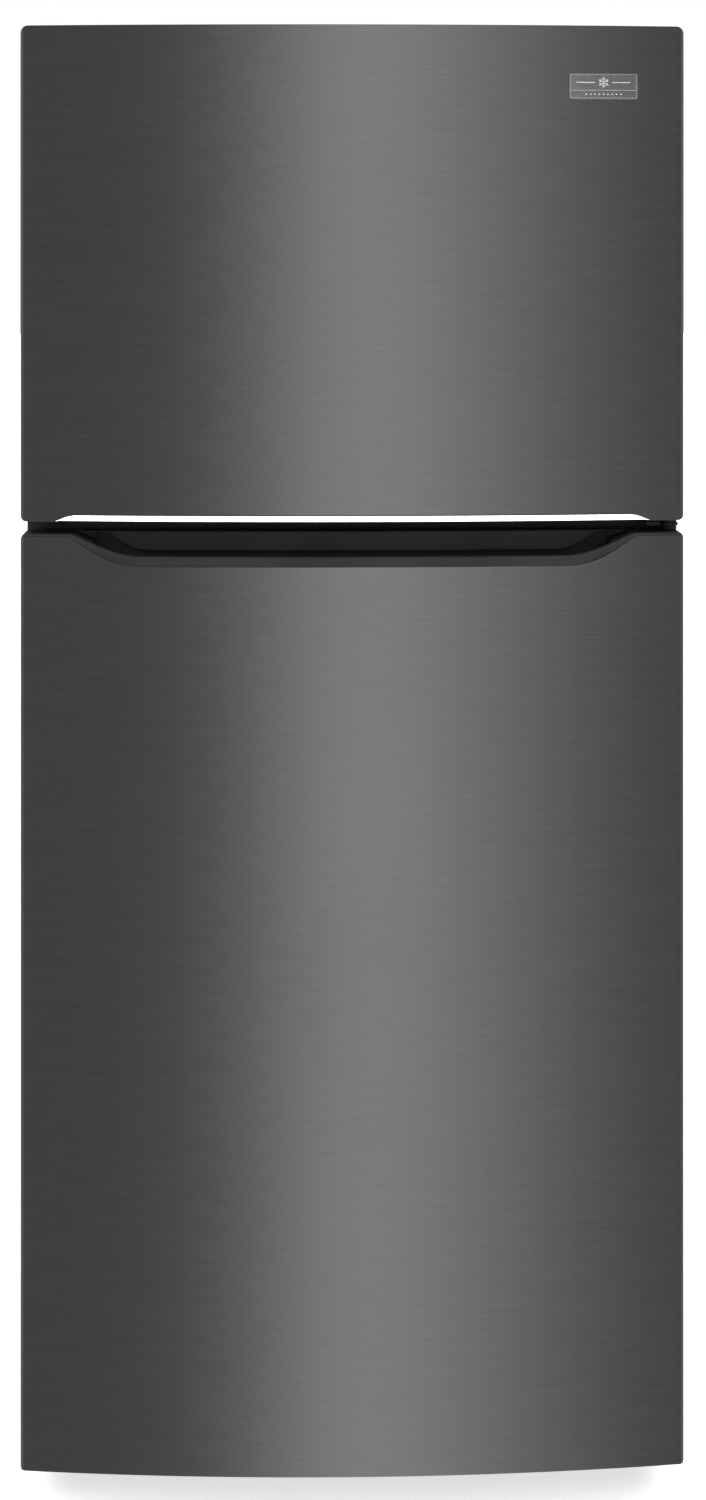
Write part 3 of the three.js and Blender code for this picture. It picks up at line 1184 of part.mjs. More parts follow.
const BLACK_STEEL = finish('black_steel', 0x4a4a4b, 0.35, 1);
const CASE_PAINT = finish('case_paint', 0x2b2b2c, 0.5, 0.2);
const BLACK_PLASTIC = finish('black_plastic', 0x131314, 0.4, 0);
const BRIGHT_TRIM = finish('bright_trim', 0xe8e8e8, 0.15, 1);
const WHITE_LINER = finish('white_liner', 0xeeeff0, 0.45, 0);
const FOAM = finish('foam', 0xe3d9b0, 0.9, 0);
const GASKET_VINYL = finish('gasket_vinyl', 0x4b4c4e, 0.7, 0);
const GREY_STEEL = finish('grey_steel', 0x8b8d90, 0.45, 0.9);
const CLEAR_PLASTIC = finish('clear_plastic', 0xdfe8ea, 0.15, 0);
const GLASS = finish('glass', 0xd8e6e2, 0.05, 0);
const COMPRESSOR_PAINT = finish('compressor_paint', 0x1a1a1b, 0.45, 0.3);
const ALUMINIUM = finish('aluminium', 0xc3c6c8, 0.4, 1);
const GREY_PLASTIC = finish('grey_plastic', 0x9a9c9e, 0.5, 0);

function part(name, made, material) {
  const mesh = new THREE.Mesh(geometryOf(made), material);
  mesh.name = name;
  return mesh;
}

function turned(mesh, at, rotation) {
  mesh.position.copy(at);
  mesh.rotation.set(...rotation);
  return mesh;
}

function cabinet() {
  const group = new THREE.Group();
  group.add(
    part('cabinet_wrapper', wrapper(), CASE_PAINT),
    part('rear_panel', rearPanel(), GREY_STEEL),
    part('foam_insulation', foam(), FOAM),
    part('fresh_food_liner', freshLiner(), WHITE_LINER),
    part('freezer_liner', freezerLiner(), WHITE_LINER),
    part('mullion_rail', mullionRail(), CASE_PAINT),
    part('base_pan', basePan(), GREY_STEEL),
    part('base_rail_left', baseRail(-1), GREY_STEEL),
    part('base_rail_right', baseRail(1), GREY_STEEL),
    part('toe_grille', toeGrille(), BLACK_PLASTIC),
    part('machine_cover', machineCover(), GREY_STEEL),
    part('compressor_tray', compressorTray(), GREY_STEEL),
    part('compressor', compressor(), COMPRESSOR_PAINT),
    part('condenser_coil', condenserCoil(), COMPRESSOR_PAINT),
    part('drain_pan', drainPan(), BLACK_PLASTIC),
    part('condenser_fan_motor', coolingMotor(), GREY_STEEL),
    turned(part('condenser_fan_blade', fanWheel(5), BLACK_PLASTIC), COOLING_FAN_AT, [0, Math.PI / 2, 0]),
    part('evaporator_coil', evaporatorCoil(), ALUMINIUM),
    part('evaporator_cover', evaporatorCover(), WHITE_LINER),
    part('evaporator_fan_motor', freezerMotor(), GREY_STEEL),
    turned(part('evaporator_fan_blade', fanWheel(4), GREY_PLASTIC), FREEZER_FAN_AT, [Math.PI / 2, 0, 0]),
    part('freezer_shelf', freezerShelf(), WHITE_LINER),
    part('crisper_cover_frame', crisperFrame(), WHITE_LINER),
    part('crisper_cover_glass', crisperGlass(), GLASS),
    part('crisper_left', crisper(-1), CLEAR_PLASTIC),
    part('crisper_right', crisper(1), CLEAR_PLASTIC),
    part('control_housing', controlHousing(), WHITE_LINER),
    turned(part('temperature_dial', dial(), GREY_PLASTIC), DIAL_AT, [Math.PI / 2, 0, 0]),
    part('top_hinge', topHinge(), GREY_STEEL),
    part('top_hinge_cover', topHingeCover(), BLACK_PLASTIC),
    part('center_hinge', centreHinge(), GREY_STEEL),
    part('bottom_hinge', bottomHinge(), GREY_STEEL),
    part('roller_left', roller(-1), BLACK_PLASTIC),
    part('roller_right', roller(1), BLACK_PLASTIC),
    part('leg_left', leg(-1), BLACK_PLASTIC),
    part('leg_right', leg(1), BLACK_PLASTIC),
  );
  ['lower', 'upper'].forEach((name, i) => {
    group.add(part(`${name}_shelf_glass`, shelfGlass(SHELF_LEVELS[i]), GLASS));
    group.add(part(`${name}_shelf_trim`, shelfTrim(SHELF_LEVELS[i]), WHITE_LINER));
  });
  return group;
}

function freezerDoor() {
  const group = new THREE.Group();
  const lowBin = DYKES.freezer.low + DYKE_WIDTH + SLACK;
  const room = DYKES.freezer.high - DYKE_WIDTH - lowBin;
  group.add(
    part('freezer_door_skin', freezerSkin(), BLACK_STEEL),
    part('freezer_door_top_cap', freezerTopCap(), BLACK_PLASTIC),
    part('freezer_door_bottom_cap', freezerBottomCap(), BLACK_PLASTIC),
    part('freezer_grip_trim', gripTrim(), BRIGHT_TRIM),
    part('freezer_door_foam', freezerFoam(), FOAM),
    part('freezer_door_liner', doorLiner(DYKES.freezer, FREEZER_LINER_Z), WHITE_LINER),
    part('freezer_gasket', gasket(FREEZER_GASKET_Z), GASKET_VINYL),
    part('freezer_bin_lower', bin(DYKES.freezer, lowBin, FREEZER_BIN_HEIGHT), CLEAR_PLASTIC),
    part('freezer_bin_upper', bin(DYKES.freezer, lowBin + room / 2, FREEZER_BIN_HEIGHT), CLEAR_PLASTIC),
    placeBadge(part('badge_plate', badge(), BLACK_STEEL)),
  );
  return group;
}

function fridgeDoor() {
  const group = new THREE.Group();
  group.add(
    part('fridge_door_skin', fridgeSkin(), BLACK_STEEL),
    part('fridge_door_top_cap', fridgeTopCap(), BLACK_PLASTIC),
    part('fridge_door_bottom_cap', fridgeBottomCap(), BLACK_PLASTIC),
    part('fridge_door_foam', fridgeFoam(), FOAM),
    part('fridge_door_liner', doorLiner(DYKES.fridge, FRIDGE_LINER_Z), WHITE_LINER),
    part('fridge_gasket', gasket(FRIDGE_GASKET_Z), GASKET_VINYL),
    part('door_bin_lower', bin(DYKES.fridge, LOW_BIN_Z, FRIDGE_BIN_HEIGHT), CLEAR_PLASTIC),
    part('door_bin_middle', bin(DYKES.fridge, MIDDLE_BIN_Z, FRIDGE_BIN_HEIGHT), CLEAR_PLASTIC),
    part('dairy_bin', dairyBin(), CLEAR_PLASTIC),
    part('dairy_lid', dairyLid(), CLEAR_PLASTIC),
  );
  return group;
}

const refrigerator = new THREE.Group();
refrigerator.add(cabinet(), freezerDoor(), fridgeDoor());
export default refrigerator;
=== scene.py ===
"""Top freezer refrigerator: formed steel doors, moulded trims, seals and the finish of every piece."""
import json
import math

import bpy
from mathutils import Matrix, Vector


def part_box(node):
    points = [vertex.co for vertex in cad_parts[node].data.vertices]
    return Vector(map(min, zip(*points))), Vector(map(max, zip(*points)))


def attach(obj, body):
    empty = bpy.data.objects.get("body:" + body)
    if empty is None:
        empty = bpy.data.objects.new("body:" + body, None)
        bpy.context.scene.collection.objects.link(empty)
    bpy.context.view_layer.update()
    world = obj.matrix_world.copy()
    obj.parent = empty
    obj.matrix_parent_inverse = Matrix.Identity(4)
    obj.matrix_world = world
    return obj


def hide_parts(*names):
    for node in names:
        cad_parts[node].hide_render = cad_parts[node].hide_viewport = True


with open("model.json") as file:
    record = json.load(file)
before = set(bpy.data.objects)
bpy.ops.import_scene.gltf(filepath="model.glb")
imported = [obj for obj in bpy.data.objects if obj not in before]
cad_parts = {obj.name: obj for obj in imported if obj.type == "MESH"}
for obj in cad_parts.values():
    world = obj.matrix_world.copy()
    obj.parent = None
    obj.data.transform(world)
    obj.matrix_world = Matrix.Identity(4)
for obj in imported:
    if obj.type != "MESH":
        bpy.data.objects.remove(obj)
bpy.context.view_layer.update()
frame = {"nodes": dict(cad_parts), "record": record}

MM = 0.001

# ---------------------------------------------------------------- sizes that the boxes don't give
DOOR_BOW = 26 * MM
SHEET = 1.2 * MM
SHEET_EDGE = 0.32 * MM
FIT = 0.3 * MM
EDGE_ROUND = 6 * MM
TOP_CORNER = 9 * MM
GAP_CORNER = 7 * MM
FOOT_CORNER = 4 * MM
REAR_FLANGE = 10 * MM
REAR_BEND = 1.5 * MM
NOTCH_DEPTH = 15 * MM
NOTCH_WIDTH = 38 * MM
NOTCH_SETBACK = 5.5 * MM  # behind the rounded vertical edge

POCKET_MOUTH = 327 * MM  # half widths, from the door's middle
POCKET_FLOOR = 247 * MM
POCKET_DROP = 33 * MM
LIP_MOUTH = 321 * MM
LIP_FLOOR = 239 * MM
LIP_DROP = 24.5 * MM
LIP_THICKNESS = 10 * MM
LIP_NOSE = 2.6 * MM
LIP_SETBACK = 0.15 * MM  # behind the face of the steel
LIP_STEP = 0.3 * MM
SCOOP_HALF = 295 * MM
SCOOP_END = 5 * MM
SCOOP_WIDTH = 38 * MM
SCOOP_BELOW_LIP = 21 * MM
SCOOP_FOOT = 7 * MM  # the round between its floor and the lip
SCOOP_BOWL = 12 * MM  # the round between its floor and the back wall
SCOOP_BROW = 2.2 * MM  # the round at the top of the back wall
HOLLOW_START = 252 * MM
HOLLOW_DEPTH = 3 * MM
HEM_MOUTH = 284 * MM  # of the scoop's back wall, which hangs over an undercut
HEM_FLOOR = 235 * MM
HEM_DROP = 22 * MM
UNDERCUT = 14 * MM

HINGE_PLATE = 3 * MM
CENTRE_PLATE = 4 * MM
FOOT_PLATE_GAP = 6 * MM

GRIP_RUN = 26 * MM
GRIP_THICKNESS = 6 * MM
GRIP_LEAN = 2.6 * MM
GRIP_ROUND = 1.1 * MM

BADGE_THICKNESS = 1.4 * MM
BADGE_CORNER = 2.5 * MM
BADGE_CHAMFER = 0.5 * MM
BADGE_CROWN = 0.5 * MM
BADGE_BORDER = 1.7 * MM  # from the plate's edge to its raised border
BADGE_DIVIDER = -4.6 * MM  # from the plate's middle

GASKET_WIDTH = 17 * MM
BIN_CORNER = 9 * MM
BIN_WALL = 2.2 * MM
BUSHING_BORE = 4.3 * MM  # radius
BUSHING_RIM = 8.5 * MM  # radius
REAR_SHEET = 0.8 * MM
REAR_SHEET_EDGE = 0.2 * MM

FORWARD, BACKWARD, UPWARD = (0, -1, 0), (0, 1, 0), (0, 0, 1)
PANEL_SCREW = 4 * MM  # the radius of the washer under each head, as for the two below
FOOT_SCREW = 3.6 * MM
GRILLE_SCREW = 3.4 * MM
SCREW_RINGS = [  # (reach, lift) in screw sizes, from the washer's edge to the recess in the head
    (1.0, 0.0), (1.0, 0.14), (0.94, 0.2), (0.66, 0.24), (0.62, 0.3), (0.6, 0.72), (0.5, 0.8), (0.3, 0.8),
    (0.22, 0.6)]
SCREW_FLATS = range(4, 7)  # the rings of the six-sided head
HEX_REACH = 0.88

# ---------------------------------------------------------------- camera
LENS = 67.5
EYE = Vector((-0.073, -3.565, 1.455))
HORIZON_SHIFT = -0.3403


def aim_camera():
    lens = bpy.data.cameras.new("camera")
    lens.lens = LENS
    lens.sensor_width = 36
    lens.shift_y = HORIZON_SHIFT
    lens.clip_start = 0.05
    lens.clip_end = 60
    camera = bpy.data.objects.new("camera", lens)
    bpy.context.collection.objects.link(camera)
    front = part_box("fridge_door_skin")[0].y + DOOR_BOW
    camera.location = EYE
    camera.rotation_euler = (math.pi / 2, 0, -math.atan2(-EYE.x, front - EYE.y))
    bpy.context.scene.camera = camera


# ---------------------------------------------------------------- shader expressions
class Wire:
    """One output of a shader node. Arithmetic on it adds the Math nodes it needs."""

    def __init__(self, finish, socket):
        self.finish = finish
        self.socket = socket

    def math(self, operation, *values):
        return self.finish.node("ShaderNodeMath", {"operation": operation}, *values)

    def __add__(self, other):
        return self.math("ADD", self, other)

    def __sub__(self, other):
        return self.math("SUBTRACT", self, other)

    def __mul__(self, other):
        return self.math("MULTIPLY", self, other)

    __radd__ = __add__
    __rmul__ = __mul__


class Finish:
    """The node tree of one material or of the world."""

    def __init__(self, tree):
        self.tree = tree

    def node(self, kind, settings=None, *values, out=0, **named):
        """A node by its type, its settings, then the values or links of its sockets."""
        made = self.tree.nodes.new(kind)
        for key, value in (settings or {}).items():
            setattr(made, key, value)
        slots = dict(enumerate(values))
        slots.update({key.replace("_", " "): value for key, value in named.items()})
        for key, value in slots.items():
            self.feed(made.inputs[key], value)
        return Wire(self, made.outputs[out])

    def feed(self, socket, value):
        if isinstance(value, Wire):
            self.tree.links.new(value.socket, socket)
        else:
            socket.default_value = value

    def place(self, x=1.0, y=1.0, z=1.0):
        """Object coordinates, stretched by a factor on each axis."""
        at = self.node("ShaderNodeTexCoord", out="Object")
        return self.node("ShaderNodeVectorMath", {"operation": "MULTIPLY"}, at, (x, y, z))

    def noise(self, at, scale, detail=2.0):
        return self.node("ShaderNodeTexNoise", {}, Vector=at, Scale=scale, Detail=detail, Roughness=0.5)

    def span(self, value, low, high, to_low=0.0, to_high=1.0, soft=True):
        kind = "SMOOTHSTEP" if soft else "LINEAR"
        return self.node(
            "ShaderNodeMapRange", {"interpolation_type": kind}, value, low, high, to_low, to_high)

    def blend(self, share, first, second):
        """Colour first where share is 0 and second where it is 1."""
        made = self.tree.nodes.new("ShaderNodeMix")
        made.data_type = "RGBA"
        for name, value in (("Factor_Float", share), ("A_Color", first), ("B_Color", second)):
            socket = next(s for s in made.inputs if s.identifier == name)
            self.feed(socket, value)
        return Wire(self, next(s for s in made.outputs if s.identifier == "Result_Color"))

    def bump(self, height, depth):
        return self.node("ShaderNodeBump", {}, Strength=1.0, Distance=depth, Height=height)


def grey(level):
    return (level, level, level, 1.0)


def material(name, constants, draw=None):
    """A material: constants go on the shader's own sockets, and draw gives what varies."""
    made = bpy.data.materials.new(f"{name}_finish")
    made.use_nodes = True
    tree = made.node_tree
    shader = tree.nodes["Principled BSDF"]
    for socket, value in constants.items():
        shader.inputs[socket].default_value = value
    if draw:
        for socket, wire in draw(Finish(tree)).items():
            tree.links.new(wire.socket, shader.inputs[socket])
    return made


# ---------------------------------------------------------------- finishes
def streaks(finish, along, across, detail):
    """Fine scratches that run round the object at one height."""
    return finish.noise(finish.place(along, along, across), 1.0, detail)


def brushed(base, spread, rough, rough_spread, depth):
    """Steel or aluminium brushed level: fine and coarse scratches, and slow waves in the sheet."""
    def draw(finish):
        fine = streaks(finish, 44, 1150, 2.0)
        coarse = streaks(finish, 15, 380, 1.0)
        grain = fine * 0.62 + coarse * 0.38
        smudge = finish.noise(finish.place(), 3.2, 3.0)
        share = finish.span(grain, 0.3, 0.7, soft=False)
        worn = finish.span(smudge, 0.35, 0.75)
        level = finish.blend(share, grey(base - spread), grey(base + spread))
        return {
            "Base Color": level,
            "Roughness": rough + (grain - 0.5) * rough_spread + worn * 0.02,
            "Normal": finish.bump(grain, depth),
        }
    return draw


def pebbled(colour, lift, rough, size, depth):
    """Plastic or paint with a fine pebble grain, a slow change of tone and duller patches."""
    def draw(finish):
        at = finish.place()
        cells = finish.node(
            "ShaderNodeTexVoronoi", {"feature": "SMOOTH_F1"}, Vector=at, Scale=1 / size)
        ripple = finish.noise(at, 0.6 / size, 3.0)
        height = cells * 0.6 + ripple * 0.4
        patch = finish.noise(at, 9.0, 3.0)
        tone = finish.span(patch, 0.3, 0.7)
        lifted = tuple(min(1.0, c * lift) for c in colour[:3]) + (1.0,)
        return {
            "Base Color": finish.blend(tone, colour, lifted),
            "Roughness": rough + (patch - 0.5) * 0.12 + (ripple - 0.5) * 0.06,
            "Normal": finish.bump(height, depth),
        }
    return draw


def moulded(colour, tint, rough, depth):
    """Smooth moulded plastic with a faint orange peel and slow waves."""
    def draw(finish):
        at = finish.place()
        peel = finish.noise(at, 420.0, 2.0)
        wave = finish.noise(at, 14.0, 2.0)
        patch = finish.noise(at, 5.0, 3.0)
        return {
            "Base Color": finish.blend(finish.span(patch, 0.3, 0.7), colour, tint),
            "Roughness": rough + (patch - 0.5) * 0.1 + (peel - 0.5) * 0.05,
            "Normal": finish.bump(peel * 0.3 + wave * 0.7, depth),
        }
    return draw


def plated(colour, tint, rough):
    """Zinc plate: soft spangles, and a fine rolled grain."""
    def draw(finish):
        at = finish.place()
        spangle = finish.node(
            "ShaderNodeTexVoronoi", {}, Vector=at, Scale=85.0, Randomness=1.0, out="Color")
        fleck = finish.node("ShaderNodeSeparateColor", {}, spangle)
        rolled = finish.noise(finish.place(60, 60, 700), 1.0, 2.0)
        share = fleck * 0.55 + rolled * 0.45
        return {
            "Base Color": finish.blend(share, colour, tint),
            "Roughness": rough + (fleck - 0.5) * 0.14,
            "Normal": finish.bump(rolled, 0.02 * MM),
        }
    return draw


def foamed(finish):
    at = finish.place()
    cells = finish.node("ShaderNodeTexVoronoi", {}, Vector=at, Scale=700.0)
    patch = finish.noise(at, 30.0, 4.0)
    return {
        "Base Color": finish.blend(patch, (0.62, 0.5, 0.27, 1), (0.78, 0.68, 0.44, 1)),
        "Roughness": 0.85 + cells * 0.1,
        "Normal": finish.bump(cells, 0.4 * MM),
    }


def clear_moulding(finish):
    at = finish.place()
    wave = finish.noise(at, 18.0, 2.0)
    haze = finish.noise(at, 160.0, 3.0)
    return {
        "Base Color": finish.blend(haze, (0.93, 0.96, 0.97, 1), (0.98, 0.99, 1.0, 1)),
        "Roughness": 0.06 + haze * 0.08,
        "Normal": finish.bump(wave, 0.08 * MM),
    }


def plate_glass(finish):
    wave = finish.noise(finish.place(), 6.0, 1.0)
    dust = finish.noise(finish.place(), 90.0, 4.0)
    return {
        "Base Color": finish.blend(dust, (0.9, 0.965, 0.94, 1), (0.95, 0.985, 0.97, 1)),
        "Roughness": 0.02 + dust * 0.04,
        "Normal": finish.bump(wave, 0.1 * MM),
    }


STEEL = {"Metallic": 1.0, "Anisotropic": 0.9, "Anisotropic Rotation": 0.25}
CLEAR = {"Transmission Weight": 0.94, "IOR": 1.5}

FINISHES = {
    "black_steel": material("black_steel", STEEL, brushed(0.5, 0.05, 0.3, 0.12, 0.012 * MM)),
    "case_paint": material(
        "case_paint", {"Specular IOR Level": 0.3}, pebbled(grey(0.024), 1.12, 0.46, 1.3 * MM, 0.10 * MM)),
    "black_plastic": material(
        "black_plastic", {"Specular IOR Level": 0.3}, pebbled(grey(0.0155), 1.3, 0.42, 0.7 * MM, 0.05 * MM)),
    "bright_trim": material("bright_trim", {"Metallic": 1.0}, brushed(0.93, 0.02, 0.2, 0.06, 0.004 * MM)),
    "badge_metal": material(
        "badge_metal", {**STEEL, "Metallic": 0.955}, brushed(0.6, 0.09, 0.34, 0.12, 0.01 * MM)),
    "white_liner": material(
        "white_liner", {"Coat Weight": 0.25, "Coat Roughness": 0.15},
        moulded((0.83, 0.84, 0.845, 1), (0.87, 0.875, 0.875, 1), 0.34, 0.12 * MM)),
    "shelf_wire": material(
        "shelf_wire", {"Coat Weight": 0.4, "Coat Roughness": 0.2},
        moulded((0.8, 0.81, 0.82, 1), (0.87, 0.87, 0.87, 1), 0.38, 0.08 * MM)),
    "foam": material("foam", {}, foamed),
    "gasket_vinyl": material(
        "gasket_vinyl", {"Specular IOR Level": 0.2}, pebbled(grey(0.018), 1.3, 0.55, 0.5 * MM, 0.03 * MM)),
    "grey_steel": material("grey_steel", {"Metallic": 0.9}, plated(grey(0.36), grey(0.5), 0.36)),
    "clear_plastic": material("clear_plastic", CLEAR, clear_moulding),
    "glass": material("glass", CLEAR, plate_glass),
    "compressor_paint": material(
        "compressor_paint", {"Coat Weight": 0.3, "Coat Roughness": 0.2},
        moulded(grey(0.012), grey(0.02), 0.4, 0.2 * MM)),
    "aluminium": material("aluminium", {"Metallic": 1.0}, plated(grey(0.6), grey(0.74), 0.3)),
    "grey_plastic": material(
        "grey_plastic", {}, pebbled((0.30, 0.31, 0.32, 1), 1.15, 0.42, 0.6 * MM, 0.03 * MM)),
    "roller_nylon": material(
        "roller_nylon", {}, moulded(grey(0.014), grey(0.02), 0.45, 0.1 * MM)),
}
LAMP_LENS = material(
    "lamp_lens", {"Coat Weight": 0.3},
    moulded((0.9, 0.9, 0.88, 1), (0.94, 0.94, 0.92, 1), 0.3, 0.1 * MM))
BADGE_PRINT = material("badge_print", {"Metallic": 0.2}, brushed(0.5, 0.03, 0.42, 0.05, 0.002 * MM))
# A darker copy of the plated grey steel for the centre hinge: painted shade, standing in for the shade in
# the gap between the doors
HINGE_SHADE_ZINC = material("hinge_shade_zinc", {"Metallic": 0.9}, plated(grey(0.05), grey(0.1), 0.38))
DIAL_INK = material("dial_ink", {}, moulded(grey(0.08), grey(0.12), 0.5, 0.02 * MM))


# ---------------------------------------------------------------- mesh helpers
def piece(
        name, points, faces, body, slot, replaces=(), finish=None, rim=0.0, rim_angle=40, smooth=True):
    """A mesh object that rides on a body, with an optional rounded rim."""
    mesh = bpy.data.meshes.new(name)
    mesh.from_pydata([tuple(p) for p in points], [], faces)
    mesh.validate()
    if smooth:
        mesh.shade_smooth()
    made = bpy.data.objects.new(name, mesh)
    bpy.context.collection.objects.link(made)
    mesh.materials.append(finish or FINISHES[slot])
    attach(made, body)
    if replaces:
        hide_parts(*replaces)
    if rim:
        round_edges(made, rim, rim_angle)
    return made


def round_edges(made, width, angle):
    bevel = made.modifiers.new("rounded_edges", "BEVEL")
    bevel.limit_method = "ANGLE"
    bevel.angle_limit = math.radians(angle)
    bevel.width = width
    bevel.segments = 2
    bevel.use_clamp_overlap = True
    level = made.modifiers.new("even_shading", "WEIGHTED_NORMAL")
    level.mode = "FACE_AREA_WITH_ANGLE"
    level.weight = 80


def thicken(made, thickness, edge, even):
    """Sheet metal: its thickness lies behind the face, and its cut edges are softened."""
    sheet = made.modifiers.new("sheet_thickness", "SOLIDIFY")
    sheet.thickness = thickness
    sheet.offset = -1
    sheet.use_even_offset = even
    round_edges(made, edge, 50)


def grid_faces(columns, rows, closed_columns=False, closed_rows=False):
    """Faces of a grid of points stored column by column."""
    faces = []
    last_column = columns if closed_columns else columns - 1
    last_row = rows if closed_rows else rows - 1
    for c in range(last_column):
        for r in range(last_row):
            a, b = c * rows, ((c + 1) % columns) * rows
            up = (r + 1) % rows
            faces.append((a + r, b + r, b + up, a + up))
    return faces


def loft(sections, closed_along=False):
    """A solid skinned over closed sections, with a flat face at each end unless it closes on itself."""
    points = [p for section in sections for p in section]
    rows = len(sections[0])
    faces = grid_faces(len(sections), rows, closed_along, True)
    if not closed_along:
        faces.append(tuple(reversed(range(rows))))
        faces.append(tuple(range(len(points) - rows, len(points))))
    return points, faces


def arc(centre, radius, start, end, steps):
    """Points of a round, by angles in degrees."""
    turns = [math.radians(start + (end - start) * i / steps) for i in range(steps + 1)]
    return [(centre[0] + radius * math.cos(t), centre[1] + radius * math.sin(t)) for t in turns]


def rounded_loop(low, high, radius, steps):
    """A rectangle with rounded corners, anticlockwise."""
    (x0, y0), (x1, y1) = low, high
    return (
        arc((x1 - radius, y0 + radius), radius, -90, 0, steps)
        + arc((x1 - radius, y1 - radius), radius, 0, 90, steps)
        + arc((x0 + radius, y1 - radius), radius, 90, 180, steps)
        + arc((x0 + radius, y0 + radius), radius, 180, 270, steps))


def spaced(low, high, count):
    return [low + (high - low) * i / (count - 1) for i in range(count)]


# ---------------------------------------------------------------- door forms
def dip(x, mouth, floor, drop):
    """How far the edge of an opening lies from its mouth at x: a smooth S between mouth and floor."""
    first_pull, last_pull = 0.36, 1.5  # along the S, for its quick start and slow end
    out = abs(x)
    if out >= mouth:
        return 0.0
    if out <= floor:
        return drop
    share = (mouth - out) / (mouth - floor)
    low, high = 0.0, 1.0
    for _ in range(30):
        t = (low + high) / 2
        along = first_pull * (1 - t) ** 2 * t + last_pull * (1 - t) * t * t + t ** 3
        low, high = (t, high) if along < share else (low, t)
    return drop * (3 * (1 - low) * low * low + low ** 3)


class Door:
    """The formed front of a door: its bow, its rounded sides and its corners."""

    def __init__(self, node, low_corner, high_corner):
        low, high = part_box(node)
        self.half = high.x
        self.low_z, self.high_z = low.z, high.z
        self.rear_y = high.y
        self.low_corner, self.high_corner = low_corner, high_corner
        self.radius = (self.half ** 2 + DOOR_BOW ** 2) / (2 * DOOR_BOW)
        self.centre_y = low.y + self.radius

    def front(self, x, inset=0.0):
        return self.centre_y - math.sqrt((self.radius - inset) ** 2 - x * x)

    def face(self, x, inset=0.0):
        """The front at x, with the rounded vertical edge beside it."""
        start = self.half - EDGE_ROUND
        if abs(x) <= start:
            return self.front(x, inset)
        edge = self.front(self.half)
        t = 1 - math.sqrt(max(0.0, (self.half - abs(x)) / EDGE_ROUND))
        begin, end = self.front(start), edge + EDGE_ROUND
        return (1 - t) ** 2 * begin + 2 * (1 - t) * t * edge + t * t * end + inset

    def corner(self, x, radius):
        """How far a rounded corner takes the edge of the door at x."""
        past = abs(x) - (self.half - radius)
        if past <= 0:
            return 0.0
        return radius - math.sqrt(max(0.0, radius ** 2 - min(past, radius) ** 2))

    def side_steps(self):
        """From the flange behind the door's left side to the start of its front."""
        edge = self.front(self.half)
        rear, half = self.rear_y, self.half
        line = [(-half + REAR_FLANGE, rear), (-half + REAR_FLANGE / 2, rear)]
        line += arc((-half + REAR_BEND, rear - REAR_BEND), REAR_BEND, 90, 180, 4)
        notch = edge + EDGE_ROUND + NOTCH_SETBACK
        flat_rear, flat_front = rear - 12 * MM, edge + EDGE_ROUND + 2 * MM
        line += [(-half, y) for y in (flat_rear, (rear + notch) / 2, notch, flat_front)]
        start = half - EDGE_ROUND
        steps = 9
        for i in range(steps):
            t = 1 - i / steps
            x = half - EDGE_ROUND * (1 - t) ** 2
            line.append((-x, self.face(x)))
        return line, start

    def plan(self, extra=()):
        """The whole line of the formed sheet seen from above, left to right."""
        side, start = self.side_steps()
        across = set(spaced(-start, start, 61))
        for x in extra:
            across |= {x, -x}
        middle = [(x, self.front(x)) for x in sorted(across) if abs(x) <= start]
        return side + middle + [(-x, y) for x, y in reversed(side)]


def ramp_places(mouth, floor, count=22):
    """Places along the S of an opening, closest together where it bends most."""
    run = mouth - floor
    return [floor + run * (1 - math.cos(math.pi * i / count)) / 2 for i in range(count + 1)]


def formed_skin(name, plan, top, bottom, body, cut=None):
    """A door's steel, as one formed sheet between its bottom and top lines."""
    rims = [0.0, 1.5 * MM, 4 * MM, 6 * MM]
    inner = 14
    points = []
    for x, y in plan:
        low, high = bottom(x, y), top(x, y)
        lows = [low + r for r in rims]
        highs = [high - r for r in reversed(rims)]
        between = spaced(lows[-1], highs[0], inner + 2)[1:-1]
        points += [(x, y, z) for z in lows + between + highs]
    rows = 2 * len(rims) + inner
    faces = grid_faces(len(plan), rows)
    if cut:
        faces = [f for f in faces if not all(cut(*points[i]) for i in f)]
    made = piece(name, points, faces, body, "black_steel", (name,))
    thicken(made, SHEET, SHEET_EDGE, True)


def freezer_skin():
    door = Door("freezer_door_skin", GAP_CORNER, TOP_CORNER)
    trim_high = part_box("freezer_grip_trim")[1]
    mouth = trim_high.x + FIT
    rise = trim_high.z - door.low_z + FIT
    front_end = door.front(door.half) + EDGE_ROUND
    notch_front = front_end + NOTCH_SETBACK
    near = 0.01 * MM

    def top(x, y):
        if y > front_end:
            return door.high_z - door.high_corner
        return door.high_z - door.corner(x, door.high_corner)

    def bottom(x, y):
        if y > front_end:
            return door.low_z + door.low_corner
        return door.low_z + door.corner(x, door.low_corner) + dip(x, mouth, mouth - GRIP_RUN, rise)

    def notch(x, y, z):
        """The opening at the top of the hinge side, where the top hinge reaches in."""
        return (
            x > door.half - NOTCH_WIDTH and y > notch_front - near
            and z > door.high_z - NOTCH_DEPTH - near)

    corners = spaced(door.half - TOP_CORNER, door.half - EDGE_ROUND, 4)
    plan = door.plan(ramp_places(mouth, mouth - GRIP_RUN, 14) + corners)
    formed_skin("freezer_door_skin", plan, top, bottom, "freezer_door", notch)
    return door


